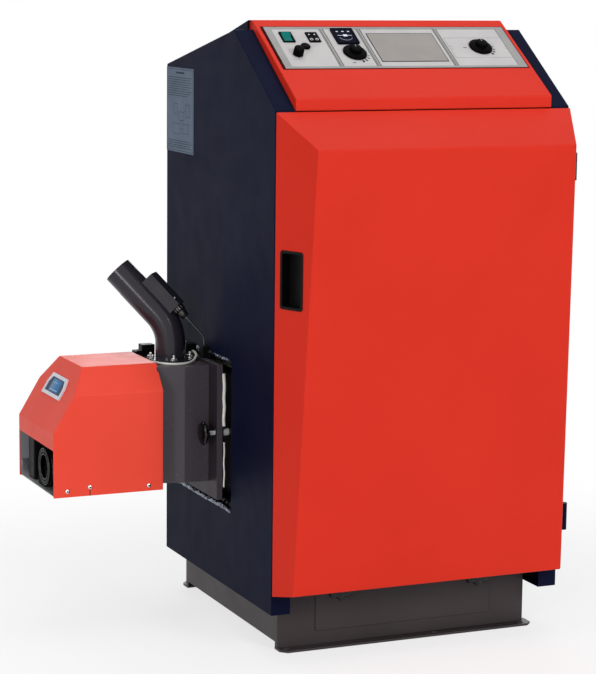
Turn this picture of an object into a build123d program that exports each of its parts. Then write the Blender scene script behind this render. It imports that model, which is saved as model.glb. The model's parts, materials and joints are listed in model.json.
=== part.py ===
# Pellet boiler with a burner on its left side: welded boiler body in a sheet casing,
# front door, sloping console and a swing-out burner with its pellet inlet elbow.
# Frame: origin at the centre of the four floor bolts, on the floor. +Z up, front is -Y,
# the burner is on the -X side. All lengths in millimetres.
import math
import os

from build123d import *

os.makedirs("parts", exist_ok=True)

# Shared fits
sheet = 1.5            # casing sheet
fit_gap = 0.3          # sheet pieces beside each other
turn_gap = 0.05        # radial running clearance of a pin or spindle

# Casing
casing_width = 620.0
casing_depth = 578.0
casing_bottom = 89.0
shoulder_height = 1049.0
peak_rise = 142.5          # top corner of the side panels above the shoulder
peak_set = 208.0
rear_fall = 79.0           # rear edge below that top corner
front_flange = 39.5
rear_flange = 15.0
window_front_set = 210.0
window_length = 310.0
window_bottom = 244.0
window_height = 300.0

casing_half = casing_width / 2
flange_edge = casing_half - front_flange
peak_height = shoulder_height + peak_rise
rear_top_height = peak_height - rear_fall
window_rear_set = window_front_set + window_length
window_top = window_bottom + window_height

# Base, its foot rails and floor bolts
base_side_set = 39.7       # base side plates inside the casing sides
base_front_set = 61.5      # base front plate behind the casing front
base_rear_set = 14.0       # base rear plate inside the casing rear
base_height = 150.0
base_wall = 3.0
base_side_raise = 9.0      # side walls end above the foot rails
base_top_flange = 22.0
rail_width = 40.0
rail_thick = 5.0
rail_corner = 12.0
rail_left_reach = 0.7      # rails past the base on each side
rail_right_reach = 10.7
rail_front_reach = 26.0
rail_rear_reach = 27.0
floor_bolt_radius = 6.0
floor_bolt_edge = 11.5     # bolt axis from the outer edge of a rail
floor_bolt_inset = 13.3    # bolt axis inside the base side
levelling_hole_x = 64.0

base_width = casing_width - 2 * base_side_set
base_depth = casing_depth - base_front_set - base_rear_set
rail_left = -base_width / 2 - rail_left_reach
rail_right = base_width / 2 + rail_right_reach
rail_front_set = base_front_set - rail_front_reach
rail_rear_set = base_front_set + base_depth + rail_rear_reach - rail_width
floor_bolt_pitch_x = base_width - 2 * floor_bolt_inset
floor_bolt_front_set = rail_front_set + floor_bolt_edge
floor_bolt_rear_set = rail_rear_set + rail_width - floor_bolt_edge
front_y = -(floor_bolt_front_set + floor_bolt_rear_set) / 2


def back(distance):
    # Y of a place that lies this far behind the casing front
    return front_y + distance


# Console
console_front_proud = 1.5
console_drop = 2.0         # lower edge of the console below the shoulder
console_lip = 23.0         # height of its front lip
console_ridge_rise = 18.5  # ridge above the casing's top corner
console_ridge_back = 7.0   # ridge behind the casing's top corner
console_roof_length = 85.0
console_tail_share = 0.325
console_shelf_set = 62.0
console_side_gap = 0.5
frame_side_set = 10.0
frame_ridge_set = 25.82
frame_height = 137.0
frame_side = 17.0
frame_rim = 5.0
divider_width = 9.0
divider_shares = (-0.5658, -0.2428, 0.4403)   # of half the frame's inner width
plate_thick = 2.0

console_bottom = shoulder_height - console_drop
console_front_top = console_bottom + console_lip
console_ridge_set = peak_set + console_ridge_back
console_ridge_height = peak_height + console_ridge_rise
console_rear_set = console_ridge_set + console_roof_length
console_tail_height = console_bottom + console_tail_share * (console_ridge_height - console_bottom)
console_half = flange_edge - console_side_gap
frame_half = console_half - frame_side_set

# Top cover
cover_side_reach = 4.5
cover_start_gap = 9.0
cover_rear_rise = 3.0
cover_half = flange_edge + cover_side_reach
cover_start_set = console_ridge_set + cover_start_gap

# Front door
door_gap = 4.0
door_low_set = 39.0        # lower edge above the casing's lower edge
door_top_set = 3.0         # upper edge below the shoulder
door_low_depth = 55.0
door_low_rise = 10.0
door_high_depth = 103.7
door_high_fall = 63.0
door_side_in = 41.4
hinge_axis_reach = 10.5    # hinge axis outside the casing side
hinge_axis_set = -2.75
hinge_radius = 8.0
hinge_pin_radius = 4.0
hinge_low_set = 77.0
hinge_high_set = 141.0
hinge_half_height = 27.0
leaf_thick = 2.5
leaf_in = 48.0
cup_width = 58.0
cup_height = 110.0
cup_edge_set = 14.5
cup_fall = 308.0           # middle of the grip below the door's upper edge
cup_depth = 22.0

door_bottom = casing_bottom + door_low_set
door_top = shoulder_height - door_top_set
door_low_height = door_bottom + door_low_rise
door_high_height = door_top - door_high_fall
door_high_half = casing_half - door_side_in
hinge_axis_x = casing_half + hinge_axis_reach
hinge_places = (door_bottom + hinge_low_set, door_top - hinge_high_set)
cup_middle = door_top - cup_fall

# Boiler body
wool_space = 48.0          # vessel inside the casing sides
vessel_front_set = 72.0
vessel_rear_space = 32.0
vessel_top_space = 49.0
vessel_wall = 5.0
water_space = 40.0
chamber_height = 470.0
chamber_wall = 6.0
smoke_height = 180.0
tube_radius = 30.0
tube_wall = 4.0
tube_columns = 4
tube_rows = 2
tube_edge_x = 72.0         # outer tubes inside the chamber sides
tube_edge_y = 112.0        # outer tubes inside the chamber's front and rear
flue_radius = 75.0
flue_neck = 1.5            # neck inside the casing, thicker than the spigot
flue_wall = 2.0
flue_fall = 87.0
flue_seat = 56.0           # free end that the flue pipe goes over
flue_reach = 58.0
socket_radius = 30.0
socket_bore = 22.42
socket_reach = 14.0
flow_inset = 82.0
flow_fall = 50.0
return_rise = 65.0
drain_radius = 13.0
drain_bore = 9.3
drain_inset = 82.0
drain_rise = 45.0
ash_open_inset = 92.3
ash_open_low = 40.0
ash_open_fall = 42.0
ash_lid_side = 13.0
ash_lid_under = 9.0
ash_lid_top_set = 4.0
ash_lid_thick = 3.0

vessel_half = casing_half - wool_space
vessel_rear_set = casing_depth - vessel_rear_space
vessel_top = shoulder_height - vessel_top_space
chamber_half = vessel_half - water_space
chamber_front_set = vessel_front_set + water_space
chamber_rear_set = vessel_rear_set - water_space
chamber_top = base_height + chamber_height
smoke_bottom = vessel_top - smoke_height
tube_pitch_x = 2 * (chamber_half - tube_edge_x) / (tube_columns - 1)
tube_pitch_y = (chamber_rear_set - chamber_front_set - 2 * tube_edge_y) / (tube_rows - 1)
neck_radius = flue_radius + flue_neck
flue_height = vessel_top - flue_fall
flue_end_set = casing_depth + flue_reach
socket_end_set = casing_depth + socket_reach
flow_x = -vessel_half + flow_inset
flow_height = vessel_top - flow_fall
return_height = base_height + return_rise
drain_x = vessel_half - drain_inset
drain_height = base_height + drain_rise
ash_open_half = base_width / 2 - ash_open_inset
ash_open_high = base_height - ash_open_fall
ash_lid_half = ash_open_half + ash_lid_side
ash_lid_low = ash_open_low - ash_lid_under
ash_lid_high = base_height - ash_lid_top_set

# Burner plate and the throat behind it
plate_reach = 20.0         # outer face of the plate outside the casing side
plate_sheet = 3.0
plate_rim = 12.0
plate_edge = 25.0          # plate inside the window's front and rear
plate_under = 22.0
plate_over = 6.0
collar_reach = 2.0
collar_flange_thick = 6.0
throat_front_edge = 31.0
throat_rear_edge = 29.0
throat_edge = 28.0
throat_wall = 4.0
rope_width = 10.0
swing_reach = 11.0
swing_back = 6.0

plate_face_x = -casing_half - plate_reach
plate_front_set = window_front_set + plate_edge
plate_rear_set = window_rear_set - plate_edge
plate_low = window_bottom + plate_under
plate_high = window_top - plate_over
collar_flange_x = -casing_half - collar_reach
throat_front_set = plate_front_set + throat_front_edge
throat_rear_set = plate_rear_set - throat_rear_edge
throat_low = plate_low + throat_edge
throat_high = plate_high - throat_edge
swing_axis_x = -casing_half - swing_reach
swing_axis_set = plate_rear_set + swing_back
burner_axis_set = (plate_front_set + plate_rear_set) / 2

# Burner housing, combustion tube and cover
housing_half = 86.0
housing_length = 140.0
housing_rise = 2.0
housing_fall = 7.0
housing_chamfer_start = 51.5
housing_chamfer_depth = 22.0
housing_sheet = 2.0
tube_half = 65.0
tube_rise = 36.0
tube_fall = 50.0
tube_reach = 7.0
cover_near = 115.0
cover_far = 114.0
cover_gap = 106.7
cover_length = 225.0
cover_under = 3.0
cover_over = 8.5
cover_side_fall = 48.5
cover_lip_rise = 93.0
cover_lip_height = 33.0
cover_end_run = 71.7
cover_taper = 42.0
lead_notch_near = 20.0

housing_low = throat_low + housing_rise
housing_high = plate_high - housing_fall
housing_end_x = plate_face_x - housing_length
tube_low = throat_low + tube_rise
tube_high = throat_high - tube_fall
tube_end_x = -chamber_half + tube_reach
cover_near_set = burner_axis_set - cover_near
cover_far_set = burner_axis_set + cover_far
cover_inner_x = plate_face_x - cover_gap
cover_outer_x = cover_inner_x - cover_length
cover_low = housing_low - cover_under
cover_top = housing_high + cover_over
cover_crease = cover_top - cover_side_fall
cover_lip_low = cover_low + cover_lip_rise
cover_lip_high = cover_lip_low + cover_lip_height
cover_top_outer_x = cover_outer_x + cover_end_run
lead_notch_set = burner_axis_set - lead_notch_near

# Pellet inlet
elbow_out = 51.0           # axis of the upright leg outside the burner plate
elbow_near = 2.0
elbow_radius = 30.0
elbow_wall = 2.5
elbow_bend = 85.0
elbow_rise = 68.2
elbow_leg = 154.9
elbow_turn = 36.0          # degrees that the slanting leg is turned towards the back
elbow_flange_radius = 48.0
elbow_flange_thick = 5.0
elbow_bolt_circle = 40.0
hose_seat = 40.0           # last stretch, turned down for the pellet hose
hose_step = 0.5

elbow_x = plate_face_x - elbow_out
elbow_set = burner_axis_set - elbow_near
elbow_corner_height = housing_high + elbow_rise

# Clamp knobs
burner_knob_radius = 24.0
burner_knob_edge = 12.0    # knob axis from the front edge of the burner plate
burner_knob_fall = 1.5
burner_knob_out = 25.0
burner_stud_radius = 4.0
ash_knob_radius = 30.0
ash_knob_edge = 41.0
ash_knob_fall = 21.0
ash_knob_proud = 34.5
ash_stud_radius = 5.0

burner_knob_set = plate_front_set + burner_knob_edge
burner_knob_height = (plate_low + plate_high) / 2 - burner_knob_fall
burner_knob_x = plate_face_x - burner_knob_out
ash_knob_x = ash_lid_half - ash_knob_edge
ash_knob_height = ash_lid_high - ash_knob_fall
ash_knob_front_set = base_front_set - ash_knob_proud


def block(x, y, z, mode=Mode.ADD):
    # A box between two X, two Y and two Z values
    with Locations(((x[0] + x[1]) / 2, (y[0] + y[1]) / 2, (z[0] + z[1]) / 2)):
        Box(abs(x[1] - x[0]), abs(y[1] - y[0]), abs(z[1] - z[0]), mode=mode)


def rod(start, direction, radius, length, mode=Mode.ADD):
    # A cylinder from a start point along a direction
    with Locations(Plane(origin=start, z_dir=direction)):
        Cylinder(radius, length, align=(Align.CENTER, Align.CENTER, Align.MIN), mode=mode)


def finish(piece, name):
    # Names a finished piece and writes its file
    piece.label = name
    export_step(piece, f"parts/{name}.step")


# Base frame: folded walls, top flange, foot rails and the ledges that carry the ash pan
base_half = base_width / 2
base_y = (back(base_front_set), back(base_front_set + base_depth))
ledge_thick = 3.0
ledge_width = 24.0
with BuildPart() as base_frame:
    block((-base_half, base_half), base_y, (rail_thick, base_height))
    block(
        (-base_half + base_wall, base_half - base_wall),
        (base_y[0] + base_wall, base_y[1] - base_wall),
        (0, base_height - base_wall),
        mode=Mode.SUBTRACT,
    )
    block(
        (-base_half + base_top_flange, base_half - base_top_flange),
        (base_y[0] + base_top_flange, base_y[1] - base_top_flange),
        (base_height - 2 * base_wall, base_height + base_wall),
        mode=Mode.SUBTRACT,
    )
    for side in (-1, 1):
        block(
            (side * (base_half - 2 * base_wall), side * (base_half + base_wall)),
            (back(rail_front_set + rail_width), back(rail_rear_set)),
            (0, rail_thick + base_side_raise),
            mode=Mode.SUBTRACT,
        )
    block(
        (-ash_open_half, ash_open_half),
        (base_y[0] - base_wall, base_y[0] + 2 * base_wall),
        (ash_open_low, ash_open_high),
        mode=Mode.SUBTRACT,
    )
    for rail_set in (rail_front_set, rail_rear_set):
        with BuildSketch(Plane.XY):
            with Locations(((rail_left + rail_right) / 2, back(rail_set + rail_width / 2))):
                rail = Rectangle(rail_right - rail_left, rail_width)
            outer = rail.vertices().sort_by(Axis.Y)
            chamfer(outer[:2] if rail_set == rail_front_set else outer[-2:], length=rail_corner)
        extrude(amount=rail_thick)
    for side in (-1, 1):
        ledge_x = side * (ash_open_half - ledge_width / 2)
        block(
            (ledge_x - ledge_width / 2, ledge_x + ledge_width / 2),
            (base_y[0] + base_wall / 2, base_y[1] - base_wall / 2),
            (ash_open_low - ledge_thick, ash_open_low),
        )
    for x in (-floor_bolt_pitch_x / 2, floor_bolt_pitch_x / 2):
        for bolt_set in (floor_bolt_front_set, floor_bolt_rear_set):
            rod((x, back(bolt_set), -1), (0, 0, 1), floor_bolt_radius, rail_thick + 2, Mode.SUBTRACT)
    rod(
        (levelling_hole_x, back(floor_bolt_front_set), -1),
        (0, 0, 1),
        floor_bolt_radius,
        rail_thick + 2,
        Mode.SUBTRACT,
    )
    for side in (-1, 1):
        rod(
            (side * ash_knob_x, base_y[0] - 1, ash_knob_height),
            (0, 1, 0),
            ash_stud_radius + turn_gap,
            base_wall + 2,
            Mode.SUBTRACT,
        )
finish(base_frame.part, "base_frame")

# Ash lid: plate on the base front, held by the two clamp knobs
ash_lid_y = (base_y[0] - ash_lid_thick, base_y[0])
with BuildPart() as ash_lid:
    block((-ash_lid_half, ash_lid_half), ash_lid_y, (ash_lid_low, ash_lid_high))
    fillet(ash_lid.edges().filter_by(Axis.Y), radius=6)
    for side in (-1, 1):
        rod(
            (side * ash_knob_x, ash_lid_y[0] - 1, ash_knob_height),
            (0, 1, 0),
            ash_stud_radius + turn_gap,
            ash_lid_thick + 2,
            Mode.SUBTRACT,
        )
finish(ash_lid.part, "ash_lid")

# Ash pan: open tray that stands on the ledges behind the ash lid
pan_gap = 5.0
pan_wall = 1.5
pan_rear_space = 94.5
pan_high = ash_open_high - 6.0
pan_half = ash_open_half - pan_gap
pan_y = (base_y[0] + base_wall + pan_gap, base_y[1] - pan_rear_space)
with BuildPart() as ash_pan:
    block((-pan_half, pan_half), pan_y, (ash_open_low, pan_high))
    block(
        (-pan_half + pan_wall, pan_half - pan_wall),
        (pan_y[0] + pan_wall, pan_y[1] - pan_wall),
        (ash_open_low + pan_wall, pan_high + pan_wall),
        mode=Mode.SUBTRACT,
    )
finish(ash_pan.part, "ash_pan")

# Boiler vessel: outer jacket welded from six plates, on the base
vessel_y = (back(vessel_front_set), back(vessel_rear_set))
chamber_y = (back(chamber_front_set), back(chamber_rear_set))
throat_y = (back(throat_front_set), back(throat_rear_set))
tunnel_y = (throat_y[0] - throat_wall, throat_y[1] + throat_wall)
tunnel_z = (throat_low - throat_wall, throat_high + throat_wall)
hatch_edge = 72.0
hatch_rise = 80.0
hatch_half = chamber_half - hatch_edge
hatch_low = base_height + hatch_rise
hatch_high = chamber_top - hatch_rise
vessel_inner_half = vessel_half - vessel_wall
vessel_inner_y = (vessel_y[0] + vessel_wall, vessel_y[1] - vessel_wall)
vessel_inner_z = (base_height + vessel_wall, vessel_top - vessel_wall)
with BuildPart() as boiler_vessel:
    for z in ((base_height, vessel_inner_z[0]), (vessel_inner_z[1], vessel_top)):
        with BuildSketch(Plane.XY.offset(z[0])):
            with Locations((0, (vessel_y[0] + vessel_y[1]) / 2)):
                Rectangle(2 * vessel_half, vessel_y[1] - vessel_y[0])
            with Locations((0, (chamber_y[0] + chamber_y[1]) / 2)):
                Rectangle(2 * chamber_half, chamber_y[1] - chamber_y[0], mode=Mode.SUBTRACT)
        extrude(amount=z[1] - z[0])
vessel_parts = list(boiler_vessel.solids())
with BuildPart() as vessel_front:
    block((-vessel_half, vessel_half), (vessel_y[0], vessel_inner_y[0]), vessel_inner_z)
    block(
        (-hatch_half - chamber_wall, hatch_half + chamber_wall),
        (vessel_y[0] - 1, vessel_inner_y[0] + 1),
        (hatch_low - chamber_wall, hatch_high + chamber_wall),
        mode=Mode.SUBTRACT,
    )
vessel_parts += list(vessel_front.solids())
with BuildPart() as vessel_rear:
    block((-vessel_half, vessel_half), (vessel_inner_y[1], vessel_y[1]), vessel_inner_z)
    rod((0, vessel_y[1] - 9, flue_height), (0, 1, 0), neck_radius, 10, Mode.SUBTRACT)
    for z in (flow_height, return_height):
        rod((flow_x, vessel_y[1] - 9, z), (0, 1, 0), socket_radius, 10, Mode.SUBTRACT)
    rod((drain_x, vessel_y[1] - 9, drain_height), (0, 1, 0), drain_radius, 10, Mode.SUBTRACT)
vessel_parts += list(vessel_rear.solids())
with BuildPart() as vessel_left:
    block((-vessel_half, -vessel_inner_half), vessel_inner_y, vessel_inner_z)
    block((-vessel_half - 1, -vessel_inner_half + 1), tunnel_y, tunnel_z, mode=Mode.SUBTRACT)
vessel_parts += list(vessel_left.solids())
with BuildPart() as vessel_right:
    block((vessel_inner_half, vessel_half), vessel_inner_y, vessel_inner_z)
vessel_parts += list(vessel_right.solids())
finish(Compound(children=vessel_parts), "boiler_vessel")

# Inner vessel: combustion chamber, smoke tubes and smoke chamber, welded from plates
chamber_inner_half = chamber_half - chamber_wall
chamber_inner_y = (chamber_y[0] + chamber_wall, chamber_y[1] - chamber_wall)
tube_middle_y = (chamber_y[0] + chamber_y[1]) / 2
tube_sheets = ((chamber_top - chamber_wall, chamber_top), (smoke_bottom, smoke_bottom + chamber_wall))
with BuildPart() as inner_vessel:
    for low, high in tube_sheets:
        with BuildSketch(Plane.XY.offset(low)):
            with Locations((0, tube_middle_y)):
                Rectangle(2 * chamber_half, chamber_y[1] - chamber_y[0])
                with GridLocations(tube_pitch_x, tube_pitch_y, tube_columns, tube_rows):
                    Circle(tube_radius, mode=Mode.SUBTRACT)
        extrude(amount=high - low)
inner_parts = list(inner_vessel.solids())
with BuildPart() as smoke_tubes:
    with BuildSketch(Plane.XY.offset(tube_sheets[0][0])):
        with Locations((0, tube_middle_y)):
            with GridLocations(tube_pitch_x, tube_pitch_y, tube_columns, tube_rows):
                Circle(tube_radius)
                Circle(tube_radius - tube_wall, mode=Mode.SUBTRACT)
    extrude(amount=tube_sheets[1][1] - tube_sheets[0][0])
inner_parts += list(smoke_tubes.solids())


def wall_plate(x, y, z, cut=None):
    # One plate of the inner vessel, with its opening if it has one
    with BuildPart() as plate:
        block(x, y, z)
        if cut:
            cut()
    return list(plate.solids())


def hatch_cut():
    block((-hatch_half, hatch_half), (chamber_y[0] - 1, chamber_inner_y[0] + 1), (hatch_low, hatch_high),
          mode=Mode.SUBTRACT)


def throat_cut():
    block((-chamber_half - 1, -chamber_inner_half + 1), throat_y, (throat_low, throat_high), mode=Mode.SUBTRACT)


def flue_cut():
    rod((0, chamber_y[1] - 9, flue_height), (0, 1, 0), neck_radius, 10, Mode.SUBTRACT)


chamber_z = (base_height, tube_sheets[0][0])
smoke_z = (tube_sheets[1][1], vessel_top)
across_x = (-chamber_inner_half, chamber_inner_half)
front_wall_y = (chamber_y[0], chamber_inner_y[0])
rear_wall_y = (chamber_inner_y[1], chamber_y[1])
for z, cuts in ((chamber_z, (hatch_cut, throat_cut, None)), (smoke_z, (None, None, flue_cut))):
    inner_parts += wall_plate(across_x, front_wall_y, z, cuts[0])
    inner_parts += wall_plate((-chamber_half, -chamber_inner_half), chamber_y, z, cuts[1])
    inner_parts += wall_plate((chamber_inner_half, chamber_half), chamber_y, z)
    inner_parts += wall_plate(across_x, rear_wall_y, z, cuts[2])
with BuildPart() as hatch_frame:
    with BuildSketch(Plane.XZ.offset(-vessel_y[0])):
        with Locations((0, (hatch_low + hatch_high) / 2)):
            Rectangle(2 * (hatch_half + chamber_wall), hatch_high - hatch_low + 2 * chamber_wall)
            Rectangle(2 * hatch_half, hatch_high - hatch_low, mode=Mode.SUBTRACT)
    extrude(amount=-(chamber_y[0] - vessel_y[0]))
inner_parts += list(hatch_frame.solids())
finish(Compound(children=inner_parts), "inner_vessel")

# Turbulators: one strip hangs in each smoke tube by its cross bar
strip_width = 44.0
strip_thick = 2.0
strip_short = 16.0         # strips end above the chamber roof
bar_length = 70.0
bar_thick = 6.0
strip_top = smoke_bottom + chamber_wall
strip_length = smoke_bottom - chamber_top - strip_short
with BuildPart() as turbulators:
    for column in range(tube_columns):
        for row in range(tube_rows):
            x = (column - (tube_columns - 1) / 2) * tube_pitch_x
            y = tube_middle_y + (row - (tube_rows - 1) / 2) * tube_pitch_y
            block(
                (x - strip_width / 2, x + strip_width / 2),
                (y - strip_thick / 2, y + strip_thick / 2),
                (strip_top - strip_length, strip_top + bar_thick),
            )
            block(
                (x - bar_length / 2, x + bar_length / 2),
                (y - bar_thick / 2, y + bar_thick / 2),
                (strip_top, strip_top + bar_thick),
            )
finish(turbulators.part, "turbulators")

# Exchanger lid on the smoke chamber
lid_overlap = 18.0
lid_thick = 5.0
lid_half = chamber_half + lid_overlap
lid_y = (chamber_y[0] - lid_overlap, chamber_y[1] + lid_overlap)
with BuildPart() as exchanger_lid:
    block((-lid_half, lid_half), lid_y, (vessel_top, vessel_top + lid_thick))
    fillet(exchanger_lid.edges().filter_by(Axis.Z), radius=12)
finish(exchanger_lid.part, "exchanger_lid")

# Cleaning cover on the front hatch of the combustion chamber
hatch_cover_overlap = 22.0
hatch_cover_thick = 8.0
hatch_plug_gap = 4.0
hatch_plug_depth = 28.0
hatch_cover_half = hatch_half + hatch_cover_overlap
hatch_cover_z = (hatch_low - hatch_cover_overlap, hatch_high + hatch_cover_overlap)
with BuildPart() as cleaning_cover:
    block(
        (-hatch_cover_half, hatch_cover_half),
        (vessel_y[0] - hatch_cover_thick, vessel_y[0]),
        hatch_cover_z,
    )
    fillet(cleaning_cover.edges().filter_by(Axis.Y), radius=14)
    block(
        (-hatch_half + hatch_plug_gap, hatch_half - hatch_plug_gap),
        (vessel_y[0] - 1, vessel_y[0] + hatch_plug_depth),
        (hatch_low + hatch_plug_gap, hatch_high - hatch_plug_gap),
    )
finish(cleaning_cover.part, "cleaning_cover")

# Nuts on the exchanger lid and on the cleaning cover
nut_radius = 10.0
nut_height = 8.0
nut_inset = 12.0
with BuildPart() as cover_nuts:
    for x in (-lid_half + nut_inset, lid_half - nut_inset):
        for y in (lid_y[0] + nut_inset, lid_y[1] - nut_inset):
            with BuildSketch(Plane.XY.offset(vessel_top + lid_thick)):
                with Locations((x, y)):
                    RegularPolygon(nut_radius, 6)
            extrude(amount=nut_height)
    for x in (-hatch_cover_half + nut_inset, hatch_cover_half - nut_inset):
        for z in (hatch_cover_z[0] + nut_inset, hatch_cover_z[1] - nut_inset):
            with BuildSketch(Plane.XZ.offset(-(vessel_y[0] - hatch_cover_thick))):
                with Locations((x, z)):
                    RegularPolygon(nut_radius, 6)
            extrude(amount=nut_height)
finish(cover_nuts.part, "cover_nuts")

# Flue spigot out of the smoke chamber through the rear panel
flue_bore = flue_radius - flue_wall
flue_collar = 14.0
with BuildPart() as flue_spigot:
    rod((0, chamber_inner_y[1], flue_height), (0, 1, 0), neck_radius,
        back(flue_end_set - flue_seat) - chamber_inner_y[1])
    rod((0, chamber_inner_y[1], flue_height), (0, 1, 0), flue_radius, back(flue_end_set) - chamber_inner_y[1])
    rod((0, vessel_y[1], flue_height), (0, 1, 0), neck_radius + flue_collar, 4)
    rod((0, chamber_inner_y[1] - 1, flue_height), (0, 1, 0), flue_bore,
        back(flue_end_set) - chamber_inner_y[1] + 2, Mode.SUBTRACT)
finish(flue_spigot.part, "flue_spigot")

# Water sockets: flow, return and drain, all welded into the vessel's rear wall
socket_start = vessel_y[1] - vessel_wall
with BuildPart() as water_sockets:
    for x, z, radius, bore in (
        (flow_x, flow_height, socket_radius, socket_bore),
        (flow_x, return_height, socket_radius, socket_bore),
        (drain_x, drain_height, drain_radius, drain_bore),
    ):
        rod((x, socket_start, z), (0, 1, 0), radius, back(socket_end_set) - socket_start)
        rod((x, socket_start - 1, z), (0, 1, 0), bore, back(socket_end_set) - socket_start + 2, Mode.SUBTRACT)
finish(water_sockets.part, "water_sockets")

# Burner collar: throat from the chamber to the casing window, its flange, the sleeve for
# the clamp stud, and two hinge lugs with their pins
sleeve_radius = 7.0
sleeve_bore = burner_stud_radius + 1.0
sleeve_front_x = collar_flange_x - 5.0
collar_back_x = collar_flange_x + collar_flange_thick
lug_height = 24.0
swing_knuckle_radius = 6.0
swing_pin_radius = 3.0
swing_knuckle_height = 26.0
swing_knuckle_low = 6.0
swing_knuckle_high = 50.0
swing_knuckle_places = (throat_low + swing_knuckle_low, throat_high - swing_knuckle_high)
swing_y = back(swing_axis_set)
knob_y = back(burner_knob_set)
with BuildPart() as burner_collar:
    block((-chamber_half, collar_back_x), tunnel_y, tunnel_z)
    block(
        (collar_flange_x, collar_back_x),
        (throat_y[0] - rope_width, throat_y[1] + rope_width + 8),
        (throat_low - rope_width, throat_high + rope_width),
    )
    block((-chamber_half + 1, collar_flange_x - 1), throat_y, (throat_low, throat_high), mode=Mode.SUBTRACT)
    rod((sleeve_front_x, knob_y, burner_knob_height), (1, 0, 0), sleeve_radius,
        -vessel_half - sleeve_front_x)
    block(
        (collar_flange_x, collar_back_x),
        (knob_y - 3, throat_y[0] - rope_width + 1),
        (burner_knob_height - 9, burner_knob_height + 9),
    )
    rod((sleeve_front_x - 1, knob_y, burner_knob_height), (1, 0, 0), sleeve_bore, 30, Mode.SUBTRACT)
    for z in swing_knuckle_places:
        block(
            (collar_flange_x, collar_back_x),
            (throat_y[1], swing_y + 3),
            (z, z + lug_height),
        )
        block((swing_axis_x, collar_back_x), (swing_y - 3, swing_y + 3), (z, z + lug_height))
        rod((swing_axis_x, swing_y, z), (0, 0, 1), swing_knuckle_radius, lug_height)
        rod((swing_axis_x, swing_y, z + lug_height / 2), (0, 0, 1), swing_pin_radius,
            lug_height / 2 + swing_knuckle_height)
finish(burner_collar.part, "burner_collar")

# Side panels: five-sided trays whose folded flanges face inwards
profile = (
    (front_y, casing_bottom),
    (front_y, shoulder_height),
    (back(peak_set), peak_height),
    (back(casing_depth), rear_top_height),
    (back(casing_depth), casing_bottom),
)
window_y = (back(window_front_set), back(window_rear_set))


def side_panel(side, window):
    # One panel, with the casing window cut on the burner side
    inner = side * flange_edge
    outer = side * casing_half
    with BuildPart() as panel:
        with BuildSketch(Plane.YZ.offset(inner)):
            Polygon(*profile, align=None)
        extrude(amount=outer - inner)
        openings = panel.faces().sort_by(Axis.X)
        offset(amount=-sheet, openings=openings[0] if side > 0 else openings[-1])
        block(
            (side * (casing_half - rear_flange), inner - side),
            (back(casing_depth) - 3 * sheet, back(casing_depth) + 1),
            (casing_bottom + sheet, rear_top_height - 12),
            mode=Mode.SUBTRACT,
        )
        if window:
            block((outer - 1, outer + 1 + sheet), window_y, (window_bottom, window_top), mode=Mode.SUBTRACT)
    return panel.part


finish(side_panel(-1, True), "side_panel_left")
finish(side_panel(1, False), "side_panel_right")

# Rear panel with the holes for the flue and the water sockets
rear_y = back(casing_depth)
hole_margin = 4.0
with BuildPart() as rear_panel:
    block((-casing_half + 1, casing_half - 1), (rear_y, rear_y + sheet), (casing_bottom, rear_top_height - 1))
    rod((0, rear_y - 1, flue_height), (0, 1, 0), neck_radius + hole_margin, 5, Mode.SUBTRACT)
    for z in (flow_height, return_height):
        rod((flow_x, rear_y - 1, z), (0, 1, 0), socket_radius + hole_margin, 5, Mode.SUBTRACT)
    rod((drain_x, rear_y - 1, drain_height), (0, 1, 0), drain_radius + hole_margin, 5, Mode.SUBTRACT)
finish(rear_panel.part, "rear_panel")

# Top cover: shallow wedge that stands on the sloping flanges of the side panels
roof_fall = (rear_top_height + cover_rear_rise - console_ridge_height - sheet) / (
    casing_depth + sheet - console_ridge_set
)


def roof_height(distance):
    # Top of the cover at this distance behind the casing front
    return console_ridge_height + sheet + roof_fall * (distance - console_ridge_set)


def flange_height(distance):
    # Upper face of the side panels' rear flanges
    fall = (rear_top_height - peak_height) / (casing_depth - peak_set)
    return peak_height + fall * (distance - peak_set)


cover_end_set = casing_depth + sheet
with BuildPart() as top_cover:
    with BuildSketch(Plane.YZ.offset(-cover_half)):
        Polygon(
            (back(cover_start_set), flange_height(cover_start_set)),
            (back(cover_start_set), roof_height(cover_start_set)),
            (back(cover_end_set), roof_height(cover_end_set)),
            (back(cover_end_set), flange_height(cover_end_set) + 0.1),
            align=None,
        )
    extrude(amount=2 * cover_half)
    with BuildSketch(Plane.YZ.offset(-cover_half + sheet)):
        Polygon(
            (back(cover_start_set) - 1, flange_height(cover_start_set) - 3),
            (back(cover_start_set) - 1, roof_height(cover_start_set - 1) - sheet),
            (back(cover_end_set - sheet), roof_height(cover_end_set - sheet) - sheet),
            (back(cover_end_set - sheet), flange_height(cover_end_set) - 3),
            align=None,
        )
    extrude(amount=2 * (cover_half - sheet), mode=Mode.SUBTRACT)
finish(top_cover.part, "top_cover")

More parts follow.
